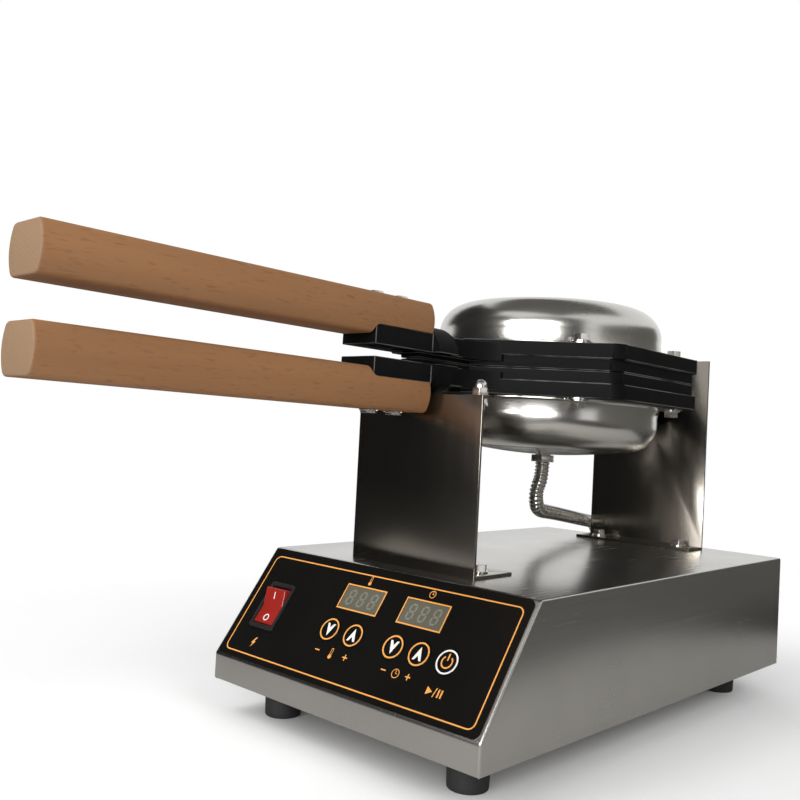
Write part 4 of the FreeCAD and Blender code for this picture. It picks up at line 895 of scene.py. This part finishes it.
class WAFFLE_OT_housing(Operator):
    """Fold the sheet-steel housing and finish its floor and rear wall"""

    bl_idname = "waffle.housing"
    bl_label = "Housing"

    def execute(self, context):
        size = sizes()
        shell = add_box("housing_shell", HOUSING_LOW, HOUSING_HIGH)
        with editing(shell):
            bpy.ops.mesh.select_all(action="SELECT")
            bpy.ops.mesh.bisect(plane_co=PANEL_ORIGIN, plane_no=PANEL_NORMAL, use_fill=True, clear_outer=True)
            choose(shell, "EDGE", self.is_fold)
            bpy.ops.mesh.bevel(offset=size.housing_bend, segments=4, affect="EDGES")
            choose(shell, "FACE", lambda face: face.normal.y > FACING)
            bpy.ops.mesh.delete(type="FACE")
            choose(shell, "FACE", lambda face: face.normal.z < -FACING)
            bpy.ops.mesh.inset(thickness=size.housing_lip, use_boundary=True)
            bpy.ops.mesh.delete(type="FACE")
        apply_modifier(shell, "SOLIDIFY", thickness=size.housing_sheet, offset=-1)
        carve(shell, self.cut_outs())
        smooth(shell, 30)
        dress(shell, "base", "housing_steel", ["brushed_housing"], "base_housing")
        for node in ("base_floor", "rear_panel"):
            eased(node, size.sheet_edge, ["brushed_housing"])
        return {"FINISHED"}

    def is_fold(self, edge):
        """An edge that the sheet is folded over, not one at the open bottom or back."""
        ends = [vert.co for vert in edge.verts]
        at_bottom = all(abs(end.z - HOUSING_LOW.z) < TOUCH for end in ends)
        at_back = all(abs(end.y - HOUSING_HIGH.y) < TOUCH for end in ends)
        return not at_bottom and not at_back

    def cut_outs(self):
        """Openings in the slope for the switch, the displays and the keys."""
        slack = 0.0003
        depth = 0.004
        tools = []
        boxes = [(SWITCH_PLACE.x, SWITCH_PLACE.y, *SWITCH_CUT)]
        boxes += [(x, DISPLAY_ROW, *DISPLAY_SIZE) for x in DISPLAYS.values()]
        for x, y, width, height in boxes:
            reach = Vector((width / 2 + slack, height / 2 + slack, depth))
            middle = Vector((x, y, 0))
            tools.append(add_box("cutter", middle - reach, middle + reach))
        for x in KEYS.values():
            tools.append(add_rod("cutter", KEY_RADIUS + slack, (x, KEY_ROW), -depth, depth))
        for tool in tools:
            settle(tool, PANEL)
        return tools


class WAFFLE_OT_uprights(Operator):
    """Ease and brush the two folded uprights"""

    bl_idname = "waffle.uprights"
    bl_label = "Uprights"

    def execute(self, context):
        for node in ("front_upright", "rear_upright"):
            # Their finish carries painted shade, a colour darker than the housing steel
            eased(node, sizes().sheet_edge, ["brushed_upright"], 3)
        return {"FINISHED"}


class WAFFLE_OT_covers(Operator):
    """Spin the two pressed covers with their rims and bolt tabs"""

    bl_idname = "waffle.covers"
    bl_label = "Covers"

    def execute(self, context):
        for half, matrix in HALVES.items():
            cover = self.spun(half + "_cover_pressing")
            carve(cover, self.tabs(), "UNION")
            settle(cover, matrix)
            outward(cover)
            smooth(cover, 30)
            dress(cover, half + "_mould", "cover_steel", ["spun_cover"], half + "_cover")
        return {"FINISHED"}

    def spun(self, name):
        """The dome and rim, turned from one profile and given the sheet's thickness."""
        cover = add_drawing(name)
        with editing(cover):
            draw_chain(self.profile())
            bpy.ops.mesh.select_all(action="SELECT")
            bpy.ops.mesh.spin(steps=SPIN_STEPS, angle=2 * math.pi, center=(0, COVER_CENTRE_Y, 0),
                              axis=(0, 0, 1))
        outward(cover)
        apply_modifier(cover, "SOLIDIFY", thickness=COVER_SHEET, offset=-1)
        return cover

    def profile(self):
        """From the crown's middle over the shoulder and down the wall to the rim."""
        rise = COVER_HEIGHT - COVER_CROWN[1]
        ball = (COVER_CROWN[0] ** 2 + rise ** 2) / (2 * rise)
        reach = math.asin(COVER_CROWN[0] / ball)
        points = []
        for step in range(CROWN_STEPS + 1):
            turn = reach * step / CROWN_STEPS
            points.append((ball * math.sin(turn), COVER_HEIGHT - ball * (1 - math.cos(turn))))
        points += arc_through(COVER_CROWN, COVER_SHOULDER, COVER_WALL, SHOULDER_STEPS)[1:]
        points += [(COVER_RADIUS + out, COVER_SHEET + up) for out, up in RIM_FOLD]
        points.append((COVER_RIM_RADIUS, COVER_SHEET))
        return [(r, COVER_CENTRE_Y, COVER_SEAT + h) for r, h in points]

    def tabs(self):
        tools = []
        for angle in TAB_ANGLES:
            turn = math.radians(angle)
            centre = (TAB_CIRCLE * math.cos(turn), COVER_CENTRE_Y + TAB_CIRCLE * math.sin(turn))
            tools.append(add_rod("tab", TAB_RADIUS, centre, COVER_SEAT, COVER_SEAT + COVER_SHEET))
        return tools


def arc_through(start, middle, end, steps):
    """Points along the circular arc from start through middle to end."""
    (ax, ay), (bx, by), (cx, cy) = start, middle, end
    d = 2 * (ax * (by - cy) + bx * (cy - ay) + cx * (ay - by))
    a2, b2, c2 = ax * ax + ay * ay, bx * bx + by * by, cx * cx + cy * cy
    ux = (a2 * (by - cy) + b2 * (cy - ay) + c2 * (ay - by)) / d
    uy = (a2 * (cx - bx) + b2 * (ax - cx) + c2 * (bx - ax)) / d
    first = math.atan2(ay - uy, ax - ux)
    last = math.atan2(cy - uy, cx - ux)
    radius = math.hypot(ax - ux, ay - uy)
    turns = [first + (last - first) * step / steps for step in range(steps + 1)]
    return [(ux + radius * math.cos(turn), uy + radius * math.sin(turn)) for turn in turns]


class WAFFLE_OT_plates(Operator):
    """Round the cast plates' edges and coat them, the coat lighter at the edges where it rubs through and as a painted
    highlight
    """

    bl_idname = "waffle.plates"
    bl_label = "Plates"

    def execute(self, context):
        for node in ("upper_plate", "lower_plate"):
            # The second finish goes on the eased edges: a painted highlight there as well as the coat rubbing through
            eased(node, sizes().casting_edge, ["black_coat", "worn_coat"], 3, shortest=SHORTEST_CAST_EDGE)
        eased("hinge_yoke", sizes().casting_edge, ["black_iron"])
        return {"FINISHED"}


class WAFFLE_OT_handles(Operator):
    """Plane the two wooden handles and cut their seats for the lugs"""

    bl_idname = "waffle.handles"
    bl_label = "Handles"

    def execute(self, context):
        for half, matrix in HALVES.items():
            handle = self.planed(half + "_handle_grip")
            carve(handle, [self.seat()])
            settle(handle, matrix)
            smooth(handle, 40)
            dress(handle, half + "_mould", "beech", ["oiled_beech"], half + "_handle")
        return {"FINISHED"}

    def planed(self, name):
        """A bar with flat top and bottom and swelling sides, its edges rounded by hand."""
        size = sizes()
        half_flat = HANDLE_FLAT / 2
        low = HANDLE_MIDDLE - HANDLE_HEIGHT / 2
        high = HANDLE_MIDDLE + HANDLE_HEIGHT / 2
        side = arc_through((half_flat, low), (HANDLE_WIDTH / 2, HANDLE_MIDDLE), (half_flat, high), 10)
        section = side + [(-x, z) for x, z in reversed(side)]
        handle = add_drawing(name)
        with editing(handle):
            draw_outline([(x, HANDLE_FRONT, z) for x, z in section])
            run = (0, HANDLE_REAR - HANDLE_FRONT, 0)
            bpy.ops.mesh.extrude_region_move(TRANSFORM_OT_translate={"value": run})
            bpy.ops.mesh.select_all(action="SELECT")
            bpy.ops.mesh.normals_make_consistent(inside=False)
            choose(handle, "EDGE", lambda edge: self.is_corner(edge, half_flat))
            bpy.ops.mesh.bevel(offset=size.handle_edge, segments=5, affect="EDGES")
            choose(handle, "EDGE", self.is_end)
            bpy.ops.mesh.bevel(offset=size.handle_end, segments=3, affect="EDGES")
        return handle

    def is_corner(self, edge, half_flat):
        """A long edge between a flat and a side."""
        lengthwise = edge.calc_length() > abs(HANDLE_REAR - HANDLE_FRONT) / 2
        return lengthwise and abs(abs(edge.verts[0].co.x) - half_flat) < TOUCH

    def is_end(self, edge):
        """An edge round either end."""
        ends = (HANDLE_FRONT, HANDLE_REAR)
        return any(all(abs(vert.co.y - end) < TOUCH for vert in edge.verts) for end in ends)

    def seat(self):
        """The notch over the lug, with a leaning shoulder at its front."""
        spare = 0.003
        low = HANDLE_MIDDLE - HANDLE_HEIGHT / 2
        front = LUG_FRONT + TOUCH
        tool = add_box("cutter", (-HANDLE_WIDTH, LUG_FRONT, low - spare),
                       (HANDLE_WIDTH, HANDLE_REAR + spare, LUG_TOP))
        with editing(tool):
            choose(tool, "VERT", lambda vert: vert.co.y < front and vert.co.z < low)
            bpy.ops.transform.translate(value=(0, -sizes().shoulder_slant, 0))
            choose(tool, "EDGE", lambda edge: all(v.co.y < front and v.co.z > low for v in edge.verts))
            bpy.ops.mesh.bevel(offset=spare, segments=4, affect="EDGES")
        return tool


class WAFFLE_OT_fasteners(Operator):
    """Chamfer and plate the bolts, nuts, screws, pins and shaft"""

    bl_idname = "waffle.fasteners"
    bl_label = "Fasteners and pivots"

    def execute(self, context):
        ease = sizes().bolt_edge
        bolts = ["upright_bolts", "stop_studs", "yoke_bolts", "pivot_nut", "hinge_pin", "pivot_shaft"]
        bolts += [half + kind for half in HALVES for kind in ("_cover_bolts", "_handle_bolts")]
        for node in bolts:
            eased(node, ease, ["bright_bolts"], 3)
        for node in ("housing_screws", "foot_screws"):
            eased(node, ease, ["bright_bolts"], 2)
        eased("pivot_bush", ease, ["turned_brass"])
        return {"FINISHED"}


class WAFFLE_OT_conduit(Operator):
    """Run the ribbed conduit from the lower cover to the rear wall"""

    bl_idname = "waffle.conduit"
    bl_label = "Conduit"

    def execute(self, context):
        size = sizes()
        line = self.centreline()
        hose, path = self.ribbed(line)
        coat(hose, "ribbed_steel")
        start, end = CONDUIT_TURN
        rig.blend(hose, "lower_mould", "base", start=start, end=end)
        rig.replaces(hose, "conduit_hose")
        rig.slot(hose, "conduit_steel")
        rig.cord(hose, exit=CONDUIT_ROUTE[0], length=0.245, diameter=size.conduit_diameter, far_end="object",
                stiffness="stiff", lay="loose", path=path)
        for node in ("conduit_fitting", "conduit_elbow"):
            eased(node, size.bolt_edge, ["bright_bolts"], 3)
        return {"FINISHED"}

    def centreline(self):
        """Points read from the smooth line through the route."""
        curve = bpy.data.curves.new("conduit_line", "CURVE")
        curve.dimensions = "3D"
        spline = curve.splines.new("NURBS")
        spline.points.add(len(CONDUIT_ROUTE) - 1)
        for point, place in zip(spline.points, CONDUIT_ROUTE):
            point.co = (*place, 1)
        spline.order_u = 3
        spline.use_endpoint_u = True
        spline.resolution_u = 48
        holder = linked("conduit_line", curve)
        bpy.context.view_layer.update()
        drawn = bpy.data.meshes.new_from_object(holder.evaluated_get(bpy.context.evaluated_depsgraph_get()))
        points = [vert.co.copy() for vert in drawn.vertices]
        bpy.data.objects.remove(holder)
        bpy.data.meshes.remove(drawn)
        return points

    def ribbed(self, line):
        """A tube along the line whose radius swells at each rib."""
        size = sizes()
        steps = [(b - a).length for a, b in zip(line, line[1:])]
        total = sum(steps)
        pitch = total / size.rib_count
        radius = size.conduit_diameter / 2
        stations = [((rib + share) * pitch, swell)
                    for rib in range(size.rib_count) for share, swell in RIB_STATIONS]
        stations.append((total, 0.0))
        curve = bpy.data.curves.new("conduit_ribbed", "CURVE")
        curve.dimensions = "3D"
        curve.bevel_depth = radius
        curve.bevel_resolution = 6
        curve.use_fill_caps = True
        spline = curve.splines.new("POLY")
        spline.points.add(len(stations) - 1)
        path = []
        for point, (distance, swell) in zip(spline.points, stations):
            place = point_along(line, steps, distance)
            point.co = (*place, 1)
            point.radius = 1 - (1 - swell) * size.rib_depth / radius
            path.append(place)
        activate(linked("conduit_ribbed", curve))
        bpy.ops.object.convert(target="MESH")
        hose = bpy.context.object
        outward(hose)
        smooth(hose, 80)
        return hose, path


def point_along(line, steps, distance):
    """The point at a distance along a line, given the lengths of its steps."""
    for start, end, step in zip(line, line[1:], steps):
        if distance <= step:
            return start.lerp(end, distance / step)
        distance -= step
    return line[-1]


class PanelPrint:
    """Ink on the panel's plane, drawn in the panel's own coordinates."""

    def make(self, name, ink, body, height, draw, matrix=PANEL):
        piece = add_drawing(name)
        with editing(piece):
            draw()
            bpy.ops.mesh.select_all(action="SELECT")
            bpy.ops.mesh.normals_make_consistent(inside=False)
        self.face_up(piece)
        apply_modifier(piece, "SOLIDIFY", thickness=sizes().print_height, offset=1)
        settle(piece, matrix @ Matrix.Translation((0, 0, height)))
        dress(piece, body, "overlay_film", [ink])
        return piece

    def face_up(self, piece):
        with editing(piece):
            choose(piece, "FACE", lambda face: face.normal.z < 0)
            bpy.ops.mesh.flip_normals()


class WAFFLE_OT_panel(Operator, PanelPrint):
    """Print the panel's film: frame, window borders and plain symbols"""

    bl_idname = "waffle.panel"
    bl_label = "Panel film"

    def execute(self, context):
        paint("control_overlay", "panel_film")
        self.make("panel_print", "orange_ink", "base", FILM, self.draw_print)
        return {"FINISHED"}

    def draw_print(self):
        line = sizes().print_line
        margin = 2 * WINDOW_MARGIN * line
        width, height = DISPLAY_SIZE
        draw_band(rounded_box(FRAME_PLACE, *FRAME_SIZE, FRAME_CORNER), line)
        for x in DISPLAYS.values():
            draw_band(bar((x, DISPLAY_ROW), width + margin, height + margin), WINDOW_LINE * line)
        temperature = (LABELS["temperature"], LABEL_ROW)
        time = (LABELS["time"], LABEL_ROW)
        self.draw_thermometer((DISPLAYS["temperature_display"], TITLE_ROW))
        self.draw_clock((DISPLAYS["time_display"], TITLE_ROW), TITLE_CLOCK)
        self.draw_minus_plus(temperature, SIGN_REACH["temperature"])
        self.draw_thermometer(temperature, LABEL_TUBE_SCALE)
        self.draw_minus_plus(time, SIGN_REACH["time"])
        self.draw_clock(time, LABEL_CLOCK)
        self.draw_start_pause(START_LABEL)
        draw_shape(POWER_LABEL, SPARK_CORNERS)

    def draw_thermometer(self, centre, scale=1.0):
        x, y = centre
        width, height = TUBE_SIZE
        tube = rounded_box((x, y + TUBE_RISE * scale), width * scale, height * scale, TUBE_CORNER * scale)
        draw_outline(circle((x, y - BULB_DROP * scale), BULB_RADIUS * scale, 20))
        draw_band(tube, TUBE_LINE)

    def draw_clock(self, centre, radius):
        """A ring with two hands, whose middles and lengths are shares of its radius."""
        x, y = centre
        rise, tall = (radius * share for share in MINUTE_HAND)
        shift, wide = (radius * share for share in HOUR_HAND)
        draw_band(circle(centre, radius, 32), CLOCK_LINE)
        draw_outline(bar((x, y + rise), CLOCK_LINE, tall))
        draw_outline(bar((x + shift, y), wide, CLOCK_LINE))

    def draw_minus_plus(self, centre, reach):
        """A minus on the left and, of three bars that don't overlap, a plus on the right."""
        x, y = centre
        for side in (-1, 1):
            draw_outline(bar((x + side * reach, y), SIGN_ARM, SIGN_LINE))
        for side in (1, -1):
            rise = side * (SIGN_ARM / 4 + SIGN_LINE / 4)
            draw_outline(bar((x + reach, y + rise), SIGN_LINE, SIGN_ARM / 2 - SIGN_LINE / 2))

    def draw_start_pause(self, centre):
        draw_shape(centre, PLAY_CORNERS)
        draw_shape(centre, SLASH_CORNERS)
        for shift in PAUSE_PLACES:
            draw_outline(bar((centre[0] + shift, centre[1]), *PAUSE_SIZE))


class WAFFLE_OT_displays(Operator, PanelPrint):
    """Fill the two display windows with unlit three-digit numbers"""

    bl_idname = "waffle.displays"
    bl_label = "Displays"

    def execute(self, context):
        for node, x in DISPLAYS.items():
            paint(node, "display_window")
            self.make(node + "_digits", "unlit_segments", "base", FILM - DISPLAY_SINK,
                      lambda: self.draw_digits(x))
        return {"FINISHED"}

    def draw_digits(self, x):
        for place in (-1, 0, 1):
            self.draw_eight((x + place * DIGIT_PITCH, DISPLAY_ROW))

    def draw_eight(self, centre):
        """Seven bars in a leaning figure eight."""
        width, height = DIGIT_SIZE
        tip = SEGMENT / 2
        flat_run = width - SEGMENT - 2 * SEGMENT_GAP
        tall_run = (height - SEGMENT) / 2 - 2 * SEGMENT_GAP
        flat = [(-flat_run / 2, 0), (-flat_run / 2 + tip, tip), (flat_run / 2 - tip, tip), (flat_run / 2, 0),
                (flat_run / 2 - tip, -tip), (-flat_run / 2 + tip, -tip)]
        tall = [(0, -tall_run / 2), (tip, -tall_run / 2 + tip), (tip, tall_run / 2 - tip), (0, tall_run / 2),
                (-tip, tall_run / 2 - tip), (-tip, -tall_run / 2 + tip)]
        rows = (height - SEGMENT) / 2
        bars = [(flat, 0, up * rows) for up in (-1, 0, 1)]
        bars += [(tall, side * (width - SEGMENT) / 2, up * rows / 2) for side in (-1, 1) for up in (-1, 1)]
        for shape, dx, dy in bars:
            draw_outline([Vector((centre[0] + px + dx + DIGIT_LEAN * (py + dy), centre[1] + py + dy, 0))
                          for px, py in shape])


class WAFFLE_OT_keys(Operator, PanelPrint):
    """Round the five keys and print their rings, arrows and start symbol"""

    bl_idname = "waffle.keys"
    bl_label = "Keys"

    def execute(self, context):
        top = FILM + KEY_PROUD
        for node, x in KEYS.items():
            eased(node, KEY_EDGE, ["panel_film"], 3)
            start = node == "start_key"
            ring = "white_ink" if start else "orange_ink"
            mark = "orange_ink" if start else "white_ink"
            self.make(node + "_ring", ring, node, top,
                      lambda: draw_band(circle((x, KEY_ROW), RING_RADIUS, 48), RING_LINE))
            if start:
                self.make(node + "_mark", mark, node, top, lambda: self.draw_power(x))
            else:
                up = 1 if "up" in node else -1
                self.make(node + "_mark", mark, node, top,
                          lambda: draw_shape((x, KEY_ROW), ARROW_CORNERS, up))
        return {"FINISHED"}

    def draw_power(self, x):
        """An open ring with an upright stroke."""
        first = math.pi / 2 + POWER_GAP
        turn = 2 * (math.pi - POWER_GAP)
        outer, inner = (circle((x, KEY_ROW), radius, 32, first, turn) for radius in POWER_RADII)
        draw_outline(outer + inner[::-1])
        draw_outline(bar((x, KEY_ROW + POWER_STROKE_RISE), *POWER_STROKE))


class WAFFLE_OT_switch(Operator, PanelPrint):
    """Finish the rocker switch and its two marks"""

    bl_idname = "waffle.switch"
    bl_label = "Power switch"

    def execute(self, context):
        eased("switch_bezel", BEZEL_EDGE, ["black_plastic"], 3)
        eased("power_rocker", ROCKER_EDGE, ["red_rocker"], 3)
        pivot = Matrix.Translation(SWITCH_PLACE + Vector((0, 0, ROCKER_PIVOT)))
        rocker = PANEL @ pivot @ Matrix.Rotation(ROCKER_TILT, 4, "X")
        valley = Matrix.Translation((0, 0, ROCKER_VALLEY))
        upper = rocker @ valley @ Matrix.Rotation(ROCKER_SLOPE, 4, "X")
        lower = rocker @ valley @ Matrix.Rotation(-ROCKER_SLOPE, 4, "X")
        self.make("rocker_on_mark", "white_ink", "power_rocker", 0,
                  lambda: draw_outline(bar((0, ROCKER_MARK_REACH), *ON_STROKE)), upper)
        self.make("rocker_off_mark", "white_ink", "power_rocker", 0,
                  lambda: draw_band(circle((0, -ROCKER_MARK_REACH), OFF_RADIUS, 32), OFF_LINE), lower)
        return {"FINISHED"}


class WAFFLE_OT_rubber(Operator):
    """Round the rubber feet and the cord gland"""

    bl_idname = "waffle.rubber"
    bl_label = "Feet and gland"

    def execute(self, context):
        eased("rubber_feet", FOOT_EDGE, ["black_rubber"], 3)
        eased("cord_gland", GLAND_EDGE, ["black_plastic"], 2)
        return {"FINISHED"}


class WAFFLE_OT_electrics(Operator):
    """Finish the pieces inside the base and under the covers"""

    bl_idname = "waffle.electrics"
    bl_label = "Inner pieces"

    def execute(self, context):
        inside = {
            "control_board": "green_board",
            "key_switches": "black_plastic",
            "board_standoffs": "turned_brass",
            "power_relay": "black_plastic",
            "terminal_block": "white_ceramic",
            "transformer": "core_steel",
            "upper_heater": "heater_sheath",
            "lower_heater": "heater_sheath",
            "upper_thermostat": "white_ceramic",
            "lower_thermostat": "white_ceramic",
        }
        for node, material in inside.items():
            paint(node, material)
        return {"FINISHED"}


class WAFFLE_OT_stage(Operator):
    """Set the floor, the soft light and the camera"""

    bl_idname = "waffle.stage"
    bl_label = "Stage"

    def execute(self, context):
        self.add_floor()
        self.light_world()
        for lamp in LAMPS:
            self.add_lamp(*lamp)
        for flag in FLAGS:
            self.add_flag(*flag)
        self.add_camera(context)
        context.scene.view_settings.view_transform = "Standard"
        return {"FINISHED"}

    def add_floor(self):
        """A pale sheet that fades into the background away from the object."""
        activate(None)
        bpy.ops.mesh.primitive_circle_add(vertices=96, radius=FLOOR_RADIUS, fill_type="NGON")
        floor = named("floor")
        graph = Graph("pale_floor")
        fade = graph.ramp(graph.length(graph.place()) * 0.5, *FLOOR_FADE)
        grain = graph.noise(500.0)
        tone = graph.blend(grain, (0.93, 0.93, 0.93), (0.96, 0.96, 0.96))
        sheet = graph.add("ShaderNodeBsdfDiffuse", None, {"Color": tone})
        clear = graph.add("ShaderNodeBsdfTransparent")
        graph.add_output(graph.add("ShaderNodeMixShader", None, {0: fade, 1: sheet, 2: clear}))
        floor.data.materials.append(graph.owner)
        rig.stage(floor)

    def light_world(self):
        """Even light, with a white background for the camera and for what metal mirrors."""
        world = bpy.data.worlds.new("studio")
        bpy.context.scene.world = world
        graph = Graph("studio", world)
        seen, shone, passed = (graph.add("ShaderNodeLightPath", output="Is %s Ray" % kind)
                               for kind in ("Camera", "Glossy", "Transmission"))
        white = seen.sum("MAXIMUM", seen, shone.sum("MAXIMUM", shone, passed))
        level = graph.add("ShaderNodeMapRange", None, {"Value": white, "To Min": AMBIENT, "To Max": BACKDROP})
        light = graph.add("ShaderNodeBackground", None, {"Color": (1, 1, 1, 1), "Strength": level})
        graph.add_output(light, "ShaderNodeOutputWorld")

    def aimed(self, place, target):
        """A place whose -Z axis points at the target."""
        way = Vector(target) - Vector(place)
        return Matrix.Translation(place) @ way.to_track_quat("-Z", "Y").to_matrix().to_4x4()

    def add_lamp(self, name, place, width, height, power, mirrored):
        lamp = bpy.data.lights.new(name, "AREA")
        lamp.shape = "RECTANGLE"
        lamp.size = width
        lamp.size_y = height
        lamp.energy = power
        holder = linked(name, lamp)
        holder.matrix_world = self.aimed(place, LAMP_TARGET)
        holder.visible_glossy = mirrored
        holder.visible_diffuse = not mirrored

    def add_flag(self, name, place, target, width, height, material):
        activate(None)
        bpy.ops.mesh.primitive_plane_add(size=1)
        flag = named(name)
        flag.matrix_world = self.aimed(place, target) @ Matrix.Diagonal((width, height, 1, 1))
        coat(flag, material)
        flag.visible_camera = False
        flag.visible_diffuse = False
        flag.visible_shadow = False
        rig.stage(flag)

    def add_camera(self, context):
        camera = bpy.data.cameras.new("camera")
        camera.lens = CAMERA_LENS
        camera.sensor_width = SENSOR
        camera.clip_start = 0.01
        holder = linked("camera", camera)
        turn = Matrix.Rotation(CAMERA_TURN, 4, "Z") @ Matrix.Rotation(math.pi / 2 + CAMERA_RISE, 4, "X")
        holder.matrix_world = Matrix.Translation(CAMERA_PLACE) @ turn @ Matrix.Rotation(CAMERA_ROLL, 4, "Z")
        context.scene.camera = holder


PIECE_OPERATORS = (
    WAFFLE_OT_housing,
    WAFFLE_OT_uprights,
    WAFFLE_OT_covers,
    WAFFLE_OT_plates,
    WAFFLE_OT_handles,
    WAFFLE_OT_fasteners,
    WAFFLE_OT_conduit,
    WAFFLE_OT_panel,
    WAFFLE_OT_displays,
    WAFFLE_OT_keys,
    WAFFLE_OT_switch,
    WAFFLE_OT_rubber,
    WAFFLE_OT_electrics,
    WAFFLE_OT_stage,
)


class WAFFLE_PT_sidebar(Panel):
    """The waffle iron's pieces, sizes and colours"""

    bl_idname = "WAFFLE_PT_sidebar"
    bl_label = "Waffle iron"
    bl_space_type = "VIEW_3D"
    bl_region_type = "UI"
    bl_category = "Waffle iron"

    def draw(self, context):
        for operator in PIECE_OPERATORS:
            self.layout.operator(operator.bl_idname)
        for group in (sizes(), colours()):
            for name in group.__annotations__:
                self.layout.prop(group, name)


CLASSES = (WaffleIronSizes, WaffleIronColours, *PIECE_OPERATORS, WAFFLE_PT_sidebar)


def register():
    for item in CLASSES:
        bpy.utils.register_class(item)
    bpy.types.Scene.waffle_iron_sizes = PointerProperty(type=WaffleIronSizes)
    bpy.types.Scene.waffle_iron_colours = PointerProperty(type=WaffleIronColours)


def unregister():
    del bpy.types.Scene.waffle_iron_colours
    del bpy.types.Scene.waffle_iron_sizes
    for item in reversed(CLASSES):
        bpy.utils.unregister_class(item)


def main():
    register()
    for operator in PIECE_OPERATORS:
        group, name = operator.bl_idname.split(".")
        getattr(getattr(bpy.ops, group), name)()
    low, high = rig.bounds()
    boxes = {"cad": [list(CAD_LOW), list(CAD_HIGH)], "visual": [list(low), list(high)]}
    with open("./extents.json", "w") as file:
        json.dump(boxes, file)


if __name__ == "__main__":
    main()
